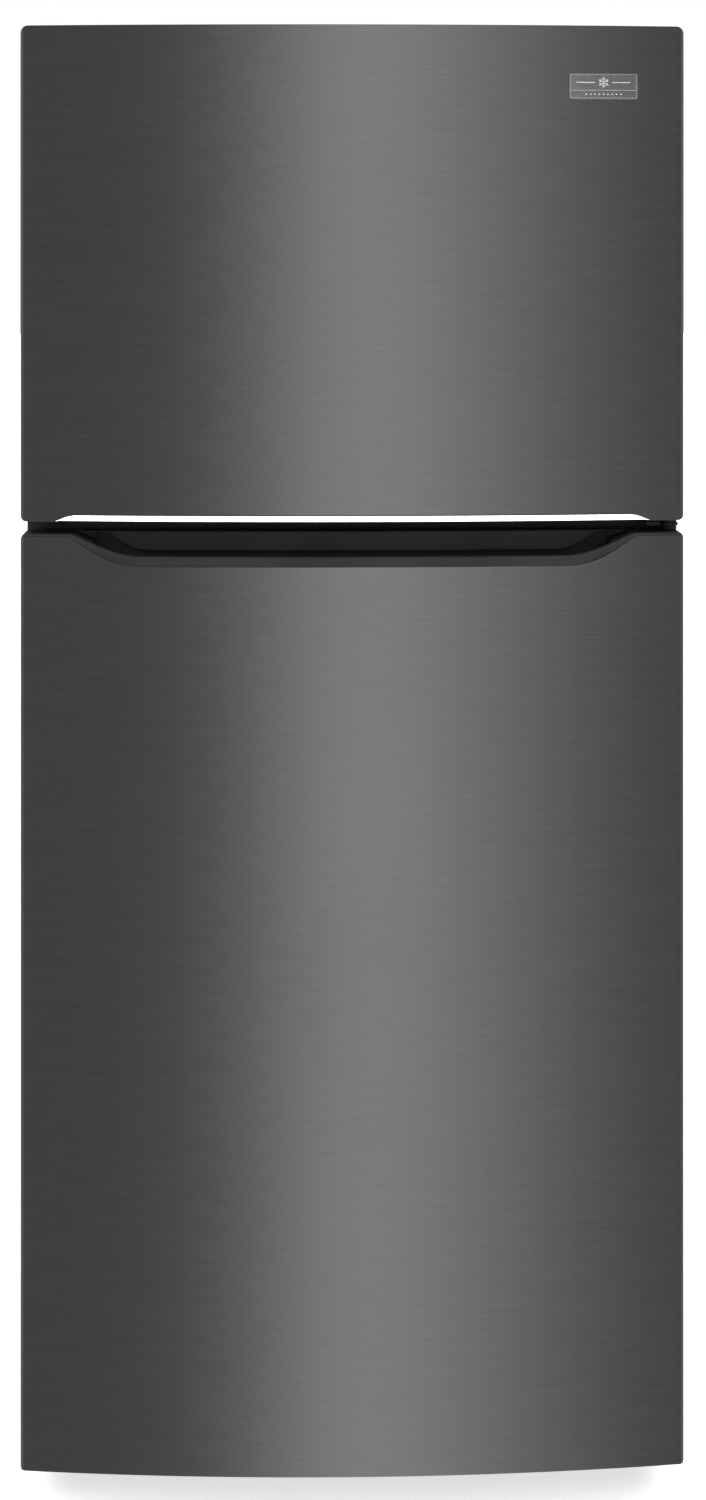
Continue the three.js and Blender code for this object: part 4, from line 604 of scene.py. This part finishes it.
def fridge_skin():
    door = Door("fridge_door_skin", FOOT_CORNER, GAP_CORNER)
    rim_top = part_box("fridge_door_top_cap")[1].z
    front_end = door.front(door.half) + EDGE_ROUND
    side_top = rim_top - door.high_corner

    def top(x, y):
        if y > front_end:
            return side_top
        rounded = rim_top - door.corner(x, door.high_corner)
        return min(door.high_z, rounded) - dip(x, POCKET_MOUTH, POCKET_FLOOR, POCKET_DROP)

    def bottom(x, y):
        if y > front_end:
            return door.low_z + door.low_corner
        return door.low_z + door.corner(x, door.low_corner)

    corners = spaced(door.half - GAP_CORNER, door.half - EDGE_ROUND, 3)
    plan = door.plan(ramp_places(POCKET_MOUTH, POCKET_FLOOR) + corners)
    formed_skin("fridge_door_skin", plan, top, bottom, "fridge_door")
    return door


def pocket_cap(door):
    """The moulded cap on the fridge door: a lip in the steel's opening and a finger scoop behind it."""
    low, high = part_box("fridge_door_top_cap")
    reach = door.half - SHEET - FIT
    rear_y = door.rear_y - 2 * MM - FIT
    rear_round = 0.8 * MM
    sliver = 0.05 * MM  # the least any round shrinks to where the pocket runs out

    def hollow(x):
        """The lip's face sinks behind the steel along the S at each end of the pocket."""
        share = (abs(x) - HOLLOW_START) / (POCKET_MOUTH - HOLLOW_START)
        return HOLLOW_DEPTH * math.sin(math.pi * share) ** 2 if 0 < share < 1 else 0.0

    def section(x):
        corner = door.corner(x, door.high_corner)
        roof = high.z - corner
        steel = door.high_z - dip(x, POCKET_MOUTH, POCKET_FLOOR, POCKET_DROP) + FIT
        steel = min(steel, roof - FIT)
        lip_dip = dip(x, LIP_MOUTH, LIP_FLOOR, LIP_DROP)
        lip = min(roof, high.z - lip_dip)
        out_y = door.face(x) + LIP_SETBACK + hollow(x)
        in_y = max(door.face(x, SHEET + FIT), out_y - LIP_STEP)
        past = (abs(x) - (SCOOP_HALF - SCOOP_END)) / SCOOP_END
        depth = 0.0
        if past < 1:
            depth = (lip_dip + SCOOP_BELOW_LIP) * (math.sqrt(max(0.0, 1 - max(0.0, past) ** 2)) ** 0.55)
        floor = min(lip, roof - depth)
        bowed = door.front(min(abs(x), door.half - EDGE_ROUND))
        back_y = bowed + LIP_THICKNESS + hollow(x)
        far_y = bowed + LIP_THICKNESS + SCOOP_WIDTH
        nose = min(LIP_NOSE, max(0.1 * MM, (lip - steel) / 2.5))
        drop = max(0.0, lip - floor)
        foot = min(SCOOP_FOOT, max(sliver, drop / 2.2))
        brow = min(SCOOP_BROW, max(sliver, (roof - floor) / 3))
        hem = roof - max(brow + 0.1 * MM, dip(x, HEM_MOUTH, HEM_FLOOR, HEM_DROP))
        under = min(UNDERCUT, max(0.02 * MM, hem - floor))
        bowl = min(SCOOP_BOWL, max(sliver, (hem - floor) * 0.45))
        line = [(in_y, low.z), (in_y, steel - 0.2 * MM), (in_y, steel), (out_y, steel)]
        line += arc((out_y + nose, lip - nose), nose, 180, 90, 5)
        crest = min(nose, drop / 2) if drop else sliver
        line += arc((back_y - crest, lip - crest), crest, 90, 0, 4)
        line += arc((back_y + foot, floor + foot), foot, 180, 270, 5)
        line += arc((far_y + under - bowl, floor + bowl), bowl, 270, 360, 7)
        line += [(far_y + under, max(hem - 0.2 * MM, floor + bowl + 0.02 * MM)), (far_y, hem)]
        line += arc((far_y + brow, roof - brow), brow, 180, 90, 4)
        line += [(rear_y - rear_round, roof), (rear_y, roof - rear_round), (rear_y, low.z)]
        return [(x, y, z) for y, z in line]

    straight = reach - 6 * MM
    places = set(spaced(-straight, straight, 73))
    for start, end, count in (
            (POCKET_FLOOR, POCKET_MOUTH, 26), (LIP_FLOOR, LIP_MOUTH, 26), (HEM_FLOOR, HEM_MOUTH, 16),
            (SCOOP_HALF - SCOOP_END, SCOOP_HALF, 14), (straight, reach, 8)):
        for x in ramp_places(end, start, count):
            places |= {x, -x}
    ordered = sorted(places)
    kept = [x for x, after in zip(ordered, ordered[1:] + [1.0]) if after - x > sliver]
    points, faces = loft([section(x) for x in kept])
    piece(
        "pocket_cap", points, faces, "fridge_door", "black_plastic", ("fridge_door_top_cap",),
        rim=0.3 * MM, rim_angle=55)


def grip_strip(door):
    """The bright strip under the freezer door's front, which leans back towards its foot."""
    low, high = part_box("freezer_grip_trim")
    height = high.z - low.z
    tiny = 0.4 * MM

    def section(x):
        top = low.z + max(tiny, dip(x, high.x, high.x - GRIP_RUN, height))
        tall = top - low.z
        nose = min(GRIP_ROUND, tall / 2.5)
        near = door.front(x) + FIT
        shape = (
            arc((near + nose, low.z + nose), nose, 270, 180, 4)
            + arc((near + nose, top - nose), nose, 180, 90, 4)
            + [(near + GRIP_THICKNESS, top), (near + GRIP_THICKNESS, low.z)])
        return [(x, y + GRIP_LEAN * (1 - (z - low.z) / height), z) for y, z in shape]

    half = high.x - 0.5 * MM
    places = set(spaced(-half, half, 61))
    for x in ramp_places(half, high.x - GRIP_RUN, 18):
        places |= {x, -x}
    points, faces = loft([section(x) for x in sorted(places)])
    piece("grip_strip", points, faces, "freezer_door", "bright_trim", ("freezer_grip_trim",))


# ---------------------------------------------------------------- badge
def badge(door):
    """A blank brushed plate with a bright border, a divider and a plain frost star."""
    low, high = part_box("badge_plate")
    middle_x, middle_z = (low.x + high.x) / 2, (low.z + high.z) / 2
    half_x, half_z = (high.x - low.x) / 2, (high.z - low.z) / 2
    turn = math.asin(middle_x / door.radius)
    normal = Vector((math.sin(turn), -math.cos(turn), 0))
    along = Vector((math.cos(turn), math.sin(turn), 0))
    seat = Vector((middle_x, door.front(middle_x), middle_z)) + normal * FIT

    def at(u, v, lift):
        return seat + along * u + Vector((0, 0, v)) + normal * lift

    corner = BADGE_CORNER

    def crown(u):
        return BADGE_CROWN * (1 - (u / half_x) ** 2)

    def section(u):
        past = max(0.0, abs(u) - (half_x - corner))
        half = half_z - corner + math.sqrt(max(0.0, corner ** 2 - past ** 2))
        top = BADGE_THICKNESS + crown(u)
        shape = ((-half, 0.0), (-half, top - BADGE_CHAMFER), (-half + BADGE_CHAMFER, top))
        return [at(u, v, lift) for v, lift in shape] + [at(u, -v, lift) for v, lift in reversed(shape)]

    places = spaced(-half_x, -half_x + corner, 7) + spaced(-half_x + corner, half_x - corner, 31)[1:-1]
    points, faces = loft([section(u) for u in places + spaced(half_x - corner, half_x, 7)])
    piece(
        "badge_plate_face", points, faces, "freezer_door", "badge_metal", ("badge_plate",),
        rim=0.2 * MM, rim_angle=50)

    marks_points, marks_faces = [], []

    def stroke(start, end, width):
        """A thin raised bar on the face, in short lengths that follow its crown."""
        run = (end - start).normalized()
        side = Vector((-run.y, run.x)) * width / 2
        length, sunk, raised = 4 * MM, -0.2 * MM, 0.12 * MM
        count = max(2, round((end - start).length / length) + 1)
        sections = []
        for i in range(count):
            p = start.lerp(end, i / (count - 1))
            lift = BADGE_THICKNESS + crown(p.x)
            sections.append([
                at(p.x + w * side.x, p.y + w * side.y, lift + rise)
                for w, rise in ((-1, sunk), (-0.75, raised), (0.75, raised), (1, sunk))])
        made_points, made_faces = loft(sections)
        marks_faces.extend(tuple(i + len(marks_points) for i in f) for f in made_faces)
        marks_points.extend(made_points)

    edge_x, edge_z = half_x - BADGE_BORDER, half_z - BADGE_BORDER
    for side in (-1, 1):
        stroke(Vector((-edge_x, side * edge_z)), Vector((edge_x, side * edge_z)), 0.22 * MM)
        stroke(Vector((side * edge_x, -edge_z)), Vector((side * edge_x, edge_z)), 0.22 * MM)
    stroke(Vector((-edge_x, BADGE_DIVIDER)), Vector((edge_x, BADGE_DIVIDER)), 0.35 * MM)

    def frost_star(hub, arm, width):
        for i in range(6):
            turned = math.radians(60 * i + 30)
            out = Vector((math.cos(turned), math.sin(turned)))
            stroke(hub + out * width * 0.6, hub + out * arm, width)
            root = hub + out * arm * 0.5
            for lean in (-50, 50):
                leaning = turned + math.radians(lean)
                branch = Vector((math.cos(leaning), math.sin(leaning)))
                stroke(root, root + branch * arm * 0.38, width * 0.8)

    upper = (edge_z + BADGE_DIVIDER) / 2
    frost_star(Vector((0, upper)), 6.2 * MM, 0.95 * MM)
    for side in (-1, 1):
        stroke(Vector((side * 10 * MM, upper)), Vector((side * 31 * MM, upper)), 1.1 * MM)
    lower = (BADGE_DIVIDER - edge_z) / 2
    tick_half = 0.8 * MM
    for i in range(-4, 5):
        centre = i * 5 * MM
        stroke(Vector((centre - tick_half, lower)), Vector((centre + tick_half, lower)), 1.6 * MM)
    piece(
        "badge_marks", marks_points, marks_faces, "freezer_door", "badge_metal",
        finish=BADGE_PRINT, smooth=False)


# ---------------------------------------------------------------- seals
def gasket(node, body):
    """A vinyl seal: a magnet tube against the case, a folded bellows behind it, mitred at its corners."""
    low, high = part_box(node)
    deep = high.y - low.y
    profile = [  # (share of the width from the outer edge, share of the depth from the door)
        (0.10, 0.0), (0.90, 0.0), (0.93, 0.10), (0.82, 0.20), (0.80, 0.28), (0.93, 0.38), (0.99, 0.50),
        (1.00, 0.72), (0.97, 0.92), (0.90, 1.0), (0.10, 1.0), (0.03, 0.92), (0.00, 0.72), (0.01, 0.50),
        (0.07, 0.38), (0.20, 0.28), (0.18, 0.20), (0.07, 0.10)]
    corners = [(-1, -1), (1, -1), (1, 1), (-1, 1)]
    steps = 12

    def mitre(corner, inward):
        """A point of the mitre at a corner, by its share of the width from the outer edge."""
        x, z = corner
        return Vector((
            (high.x if x > 0 else low.x) - x * inward * GASKET_WIDTH, 0,
            (high.z if z > 0 else low.z) - z * inward * GASKET_WIDTH))

    sections = []
    for i, corner in enumerate(corners):
        following = corners[(i + 1) % 4]
        for k in range(steps):
            section = []
            for inward, depth in profile:
                p = mitre(corner, inward).lerp(mitre(following, inward), k / steps)
                section.append((p.x, low.y + depth * deep, p.z))
            sections.append(section)
    points, faces = loft(sections, closed_along=True)
    piece(f"{node}_seal", points, faces, body, "gasket_vinyl", (node,), rim=0.25 * MM, rim_angle=25)


# ---------------------------------------------------------------- bins, shelves and small parts
def moulded_bin(node, body):
    """A door bin: drafted walls, a rolled rim, a rounded foot and an inner floor."""
    low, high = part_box(node)
    corner, wall = BIN_CORNER, BIN_WALL
    draft = 2.5 * MM
    rim = 2.4 * MM
    foot = 6 * MM
    top = high.z
    tall = high.z - low.z

    def ring(inset, z, radius):
        loop = rounded_loop((low.x + inset, low.y + inset), (high.x - inset, high.y - inset), radius, 7)
        return [(x, y, z) for x, y in loop]

    points, faces = loft([  # up the outside, over the rim and down to the inner floor
        ring(draft + foot, low.z, corner - 5 * MM),
        ring(draft + foot * 0.3, low.z + foot * 0.3, corner - 2 * MM),
        ring(draft, low.z + foot, corner),
        ring(rim + 0.4 * MM, top - tall * 0.3, corner),
        ring(rim, top - 7 * MM, corner),
        ring(0.2 * MM, top - 6.4 * MM, corner),
        ring(0.0, top - 5.6 * MM, corner),
        ring(0.0, top - 1 * MM, corner),
        ring(0.7 * MM, top, corner),
        ring(rim + wall - 0.7 * MM, top, corner - 2 * MM),
        ring(rim + wall, top - 0.8 * MM, corner - 2 * MM),
        ring(draft + wall, low.z + foot + wall, corner - 3 * MM),
        ring(draft + wall + foot * 0.4, low.z + wall + foot * 0.3, corner - 4 * MM),
        ring(draft + wall + foot, low.z + wall, corner - 6 * MM)])
    piece(f"{node}_moulding", points, faces, body, "clear_plastic", (node,))


def wire_shelf():
    """White coated wires welded to a round frame."""
    low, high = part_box("freezer_shelf")
    middle = (low.z + high.z) / 2
    thick, thin = (high.z - low.z) / 2, 1.3 * MM
    curve = bpy.data.curves.new("freezer_wire_shelf", "CURVE")
    curve.dimensions = "3D"
    curve.bevel_depth = 1.0
    curve.bevel_resolution = 3
    curve.use_fill_caps = True

    def wire(points, radius, closed=False):
        spline = curve.splines.new("POLY")
        spline.points.add(len(points) - 1)
        for point, (x, y, z) in zip(spline.points, points):
            point.co = (x, y, z, 1)
            point.radius = radius
        spline.use_cyclic_u = closed

    loop = rounded_loop((low.x + thick, low.y + thick), (high.x - thick, high.y - thick), 9 * MM, 5)
    wire([(x, y, middle) for x, y in loop], thick * 0.95, True)
    for y in spaced(low.y, high.y, 5)[1:-1]:
        wire([(low.x + thick, y, middle), (high.x - thick, y, middle)], thick * 0.9)
    up = middle + thin
    end, side = 2.5 * MM, 20 * MM
    for x in spaced(low.x + side, high.x - side, 30):
        wire([(x, low.y + end, up), (x, high.y - end, up)], thin)
    made = bpy.data.objects.new("freezer_wire_shelf", curve)
    bpy.context.collection.objects.link(made)
    curve.materials.append(FINISHES["shelf_wire"])
    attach(made, "cabinet")
    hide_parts("freezer_shelf")


def screws(name, places, axis, size, slot="grey_steel"):
    """Hex washer head screws in the case: axis points out of the surface that each head sits on."""
    out = Vector(axis)
    side = out.orthogonal().normalized()
    up = out.cross(side)
    points, faces = [], []
    sides = 24
    for place in places:
        first = len(points)
        for k, (reach, lift) in enumerate(SCREW_RINGS):
            for i in range(sides):
                turn = 2 * math.pi * i / sides
                wide = reach
                if k in SCREW_FLATS:
                    wide *= HEX_REACH / math.cos((turn + math.pi / 6) % (math.pi / 3) - math.pi / 6)
                spoke = side * math.cos(turn) + up * math.sin(turn)
                points.append(place + spoke * wide * size + out * lift * size)
        for f in grid_faces(len(SCREW_RINGS), sides, False, True):
            faces.append(tuple(first + i for i in reversed(f)))
        faces.append(tuple(first + i for i in range(sides)))
        last = first + (len(SCREW_RINGS) - 1) * sides
        faces.append(tuple(last + i for i in reversed(range(sides))))
    piece(name, points, faces, "cabinet", slot, rim=0.04 * size, rim_angle=30)


def bushing(name, centre, thick, body):
    """A flanged nylon bushing round a hinge pin."""
    sides = 40
    lip = thick * 0.22
    inner, outer = BUSHING_BORE, BUSHING_RIM
    rings = [
        (inner, 0.0), (outer - lip, 0.0), (outer, lip), (outer, thick - lip), (outer - lip, thick),
        (inner, thick)]
    sections = []
    for i in range(sides):
        turn = 2 * math.pi * i / sides
        sections.append([
            (centre.x + r * math.cos(turn), centre.y + r * math.sin(turn), centre.z + z) for r, z in rings])
    points, faces = loft(sections, closed_along=True)
    piece(name, points, faces, body, "roller_nylon", rim=0.15 * MM, rim_angle=35)


def hinge_axis():
    """Where the doors' pins stand, from the record."""
    joints = frame["record"]["behaviour"]["joints"]
    at = next(joint["pos_m"] for joint in joints if joint["name"] == "fridge_door_hinge")
    return at[0], at[1]


def hinge_bushings():
    """A nylon bushing between each hinge plate and the door that turns on it."""
    x, y = hinge_axis()
    low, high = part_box("center_hinge")
    plate = (low.z + high.z) / 2
    plate_top, plate_foot = plate + CENTRE_PLATE / 2, plate - CENTRE_PLATE / 2
    fridge_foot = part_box("fridge_door_skin")[0].z - FOOT_PLATE_GAP
    notch_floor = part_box("freezer_door_skin")[1].z - NOTCH_DEPTH
    seats = {
        "centre_bushing_upper": (plate_top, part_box("freezer_door_bottom_cap")[0].z, "cabinet"),
        "centre_bushing_lower": (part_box("fridge_door_top_cap")[1].z, plate_foot, "fridge_door"),
        "bottom_bushing": (fridge_foot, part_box("fridge_door_bottom_cap")[0].z, "cabinet"),
        "top_bushing": (notch_floor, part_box("top_hinge")[1].z - HINGE_PLATE, "freezer_door"),
    }
    for name, (foot, top, body) in seats.items():
        bushing(name, Vector((x, y, foot + FIT)), top - foot - 2 * FIT, body)


def fixings():
    """The screws that hold the hinges, covers and panels."""
    low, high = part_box("top_hinge_cover")
    places = [Vector((low.x + 14 * MM, high.y - 16 * MM, high.z))]
    screws("hinge_cover_screw", places, UPWARD, PANEL_SCREW)

    low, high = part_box("center_hinge")
    flange, tab, inset = 2.5 * MM, 17 * MM, 9 * MM
    tab_x = high.x - tab / 2
    face = high.y - flange
    places = [Vector((tab_x, face, z)) for z in (low.z + inset, high.z - inset)]
    screws("centre_hinge_screws", places, FORWARD, PANEL_SCREW)

    low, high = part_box("bottom_hinge")
    face = high.y - flange
    places = [Vector((x, face, low.z + inset)) for x in (low.x + 8 * MM, high.x - 7 * MM)]
    screws("bottom_hinge_screws", places, FORWARD, FOOT_SCREW)

    low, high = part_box("machine_cover")
    places = [
        Vector((x, high.y, z)) for x in spaced(low.x + inset, high.x - inset, 4)
        for z in (low.z + inset, high.z - inset)]
    screws("machine_cover_screws", places, BACKWARD, PANEL_SCREW)

    low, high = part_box("rear_panel")
    inset = 8 * MM
    places = [
        Vector((x, high.y, z)) for x in (low.x + inset, high.x - inset)
        for z in spaced(low.z + 60 * MM, high.z - 20 * MM, 6)]
    places += [
        Vector((x, high.y, high.z - inset)) for x in spaced(low.x + 120 * MM, high.x - 120 * MM, 3)]
    screws("rear_panel_screws", places, BACKWARD, PANEL_SCREW)

    low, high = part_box("toe_grille")
    middle = (low.z + high.z) / 2
    places = [Vector((x, low.y, middle)) for x in (low.x + inset, high.x - inset)]
    screws("toe_grille_screws", places, FORWARD, GRILLE_SCREW, "black_plastic")

    low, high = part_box("evaporator_cover")
    inset = 14 * MM
    places = [
        Vector((x, low.y, z)) for x in (low.x + inset, high.x - inset)
        for z in spaced(low.z + 40 * MM, high.z - 30 * MM, 3)]
    screws("evaporator_cover_screws", places, FORWARD, FOOT_SCREW, "white_liner")


def rear_panel():
    """The rear sheet, with pressed stiffening beads, open at its foot for the machine compartment."""
    low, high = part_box("rear_panel")
    pan_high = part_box("base_pan")[1]
    side, sill = pan_high.x + 2 * FIT, pan_high.z + FIT
    wide = high.x - low.x
    beads = [low.x + wide * share for share in (0.2, 0.4, 0.6, 0.8)]
    bead_half, bead_lift, bead_end = 16 * MM, 2 * MM, 70 * MM
    end_low, end_high = sill + bead_end, high.z - bead_end

    def lift(x, z):
        across = min(abs(x - bead) for bead in beads) / bead_half
        past = max(end_low - z, z - end_high, 0.0) / bead_half
        out = math.hypot(min(across, 1.0), past)
        return 0.0 if out >= 1 else bead_lift * (0.5 + 0.5 * math.cos(math.pi * out))

    xs = set(spaced(low.x, high.x, 20)) | {-side, side}
    for bead in beads:
        xs |= set(spaced(bead - bead_half, bead + bead_half, 13))
    zs = set(spaced(sill, high.z, 24)) | set(spaced(low.z, sill, 5))
    for end in (end_low, end_high):
        zs |= set(spaced(end - bead_half, end + bead_half, 13))
    columns, rows = sorted(xs, reverse=True), sorted(zs)
    points = [(x, high.y + lift(x, z), z) for x in columns for z in rows]

    def kept(face):
        x = sum(points[i][0] for i in face) / len(face)
        z = sum(points[i][2] for i in face) / len(face)
        return abs(x) > side or z > sill

    faces = [face for face in grid_faces(len(columns), len(rows)) if kept(face)]
    used = sorted({i for face in faces for i in face})
    number = {old: new for new, old in enumerate(used)}
    points, faces = [points[i] for i in used], [tuple(number[i] for i in face) for face in faces]
    made = piece("rear_sheet", points, faces, "cabinet", "grey_steel", ("rear_panel",))
    thicken(made, REAR_SHEET, REAR_SHEET_EDGE, False)


def lamp():
    """The lens under the control housing, with a shallow crown."""
    low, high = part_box("control_housing")
    side, end = 33 * MM, 43 * MM
    x0, x1 = side, high.x - side
    y0, y1 = low.y + end, high.y - end
    seat = 11 * MM
    rings = []
    for inset, rise in (
            (0, seat), (0, 4 * MM), (1.2 * MM, 2 * MM), (5 * MM, 0.6 * MM), (14 * MM, -0.6 * MM),
            (26 * MM, -1.4 * MM), (40 * MM, -1.8 * MM)):
        radius = max(3 * MM, 9 * MM - inset * 0.2)
        loop = rounded_loop((x0 + inset, y0 + inset), (x1 - inset, y1 - inset), radius, 6)
        rings.append([(x, y, low.z + rise) for x, y in reversed(loop)])
    points, faces = loft(rings)
    piece("lamp_lens", points, faces, "cabinet", "white_liner", finish=LAMP_LENS)


def dial_marks():
    """A ring of ticks round the temperature dial, longest at the coldest end."""
    low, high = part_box("temperature_dial")
    centre = (low + high) / 2
    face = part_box("control_housing")[0].y
    points, faces = [], []
    count, first_turn, sweep = 9, 225, 270
    sunk, raised = 0.1 * MM, 0.25 * MM
    for i in range(count):
        turn = math.radians(first_turn - sweep * i / (count - 1))
        out = Vector((math.cos(turn), 0, math.sin(turn)))
        side = Vector((-out.z, 0, out.x)) * 0.5 * MM
        start = Vector((centre.x, 0, centre.z)) + out * 24 * MM
        end = start + out * (2.2 + 0.35 * i) * MM
        first = len(points)
        for y in (face + sunk, face - raised):
            points += [p + Vector((0, y, 0)) for p in (start - side, end - side, end + side, start + side)]
        faces += [tuple(first + k for k in f) for f in (
            (0, 1, 2, 3), (7, 6, 5, 4), (0, 4, 5, 1), (1, 5, 6, 2), (2, 6, 7, 3), (3, 7, 4, 0))]
    piece("dial_marks", points, faces, "cabinet", "grey_plastic", finish=DIAL_INK, smooth=False)


# ---------------------------------------------------------------- finish of the CAD pieces
EDGE_WIDTHS = {  # how far each finish rounds its edges
    "case_paint": 0.8 * MM, "black_plastic": 0.8 * MM, "white_liner": 1.0 * MM, "foam": 0.6 * MM,
    "gasket_vinyl": 0.5 * MM, "grey_steel": 0.35 * MM, "clear_plastic": 0.7 * MM, "glass": 0.8 * MM,
    "compressor_paint": 0.8 * MM, "aluminium": 0.15 * MM, "grey_plastic": 0.6 * MM, "roller_nylon": 0.8 * MM,
}


def dress_nodes():
    """Every CAD node that still shows gets its slot's finish, joined faces and rounded edges; the centre
    hinge instead gets a darker copy of the plated grey steel, as painted shade for the gap between the
    doors.
    """
    for made in frame["nodes"].values():
        if made.hide_render:
            continue
        slot = made.material_slots[0].material.name.split(".")[0]
        # The centre hinge sits in the gap between the doors, so it takes the darker copy: painted shade
        finish = HINGE_SHADE_ZINC if made == frame["nodes"]["center_hinge"] else FINISHES[slot]
        for place in made.material_slots:
            place.material = finish
        for face in made.data.polygons:
            face.use_smooth = True
        weld = made.modifiers.new("joined_faces", "WELD")
        weld.merge_threshold = 0.01 * MM
        round_edges(made, EDGE_WIDTHS.get(slot, 0.4 * MM), 32)


# ---------------------------------------------------------------- stage and light
ROOM_GLOW = 0.118
SOFT_PANELS = (  # strength, then degrees right of the front where it starts, is full, fades and ends
    (0.34, -11, 0.5, 4, 17), (0.17, -5, 2, 3, 9), (0.13, 5, 12, 15, 24),
    (0.22, 70, 85, 100, 120), (0.22, -120, -100, -85, -70))
SIDE_GLOW = (0.04, 28, 42)  # strength, then degrees from the front where it starts and is full
REAR_GLOW = (0.2, 150, 172)


def stage():
    """A plain pale floor, which stays out of reflections and casts nothing."""
    half = 40.0
    mesh = bpy.data.meshes.new("floor")
    mesh.from_pydata(
        [(-half, -half, 0), (half, -half, 0), (half, half, 0), (-half, half, 0)], [], [(0, 1, 2, 3)])
    floor = bpy.data.objects.new("floor", mesh)
    bpy.context.collection.objects.link(floor)
    glow = {"Specular IOR Level": 0.0, "Emission Color": grey(1.0), "Emission Strength": 0.62}
    mesh.materials.append(
        material("pale_floor", glow, moulded(grey(0.86), grey(0.88), 0.8, 0.02 * MM)))
    floor.visible_glossy = False
    floor.visible_shadow = False


def soft_sun(name, towards, strength, spread):
    """Even light from one side of the room, left out of reflections."""
    light = bpy.data.lights.new(name, "SUN")
    light.energy = strength
    light.angle = math.radians(spread)
    made = bpy.data.objects.new(name, light)
    bpy.context.collection.objects.link(made)
    made.rotation_euler = Vector(towards).to_track_quat("-Z", "Y").to_euler()
    made.visible_glossy = False


def floor_bounce(lit_names):
    """Light off the pale floor in front, for the bright trims that lean towards it."""
    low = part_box("freezer_grip_trim")[0]
    light = bpy.data.lights.new("floor_bounce", "AREA")
    light.shape = "RECTANGLE"
    light.size, light.size_y = 3.0, 1.2
    light.energy = 40
    made = bpy.data.objects.new("floor_bounce", light)
    bpy.context.collection.objects.link(made)
    made.location = (0, low.y - 1.28, 0.01)
    aim = Vector((0, low.y, low.z)) - made.location
    made.rotation_euler = aim.to_track_quat("-Z", "Y").to_euler()
    made.visible_camera = False
    lit = bpy.data.collections.new("lit_by_floor_bounce")
    for name in lit_names:
        lit.objects.link(bpy.data.objects[name])
    made.light_linking.receiver_collection = lit


def studio():
    """A dim even room with tall soft panels in front, at the sides and behind, seen as plain white."""
    world = bpy.data.worlds.new("studio")
    bpy.context.scene.world = world
    world.use_nodes = True
    tree = world.node_tree
    tree.nodes.clear()
    finish = Finish(tree)
    direction = finish.node("ShaderNodeTexCoord", out="Generated")
    x = finish.node("ShaderNodeSeparateXYZ", {}, direction)
    y = Wire(finish, x.socket.node.outputs["Y"])
    turn = x.math("ARCTAN2", x, y * -1.0) * (180 / math.pi)

    aside = turn.math("ABSOLUTE", turn)
    glow = ROOM_GLOW
    for strength, start, full, fade, end in SOFT_PANELS:
        panel = finish.span(turn, start, full) * finish.span(turn, fade, end, 1.0, 0.0)
        glow = glow + strength * panel
    for strength, start, full in (SIDE_GLOW, REAR_GLOW):
        glow = glow + strength * finish.span(aside, start, full)
    lit = finish.node("ShaderNodeBackground", {}, Strength=glow)
    plain = finish.node("ShaderNodeBackground", {}, (1.0, 1.0, 1.0, 1.0), 1.0)
    seen = finish.node("ShaderNodeLightPath", out="Is Camera Ray")
    mixed = finish.node("ShaderNodeMixShader", {}, seen, lit, plain)
    output = tree.nodes.new("ShaderNodeOutputWorld")
    tree.links.new(mixed.socket, output.inputs["Surface"])

    soft_sun("ceiling_light", (0.05, 0.1, -1), 4.0, 120)
    soft_sun("front_light", (-0.1, 1, -0.25), 1.6, 70)
    soft_sun("back_light", (0.15, -1, -0.3), 0.9, 70)
    floor_bounce(["grip_strip"])
    scene = bpy.context.scene
    scene.view_settings.view_transform = "Standard"
    scene.view_settings.look = "None"


# ---------------------------------------------------------------- making
aim_camera()
freezer = freezer_skin()
fridge = fridge_skin()
pocket_cap(fridge)
grip_strip(freezer)
badge(freezer)
gasket("freezer_gasket", "freezer_door")
gasket("fridge_gasket", "fridge_door")
for bin_node in ("freezer_bin_lower", "freezer_bin_upper"):
    moulded_bin(bin_node, "freezer_door")
for bin_node in ("door_bin_lower", "door_bin_middle"):
    moulded_bin(bin_node, "fridge_door")
wire_shelf()
rear_panel()
lamp()
dial_marks()
hinge_bushings()
fixings()
dress_nodes()
stage()
studio()
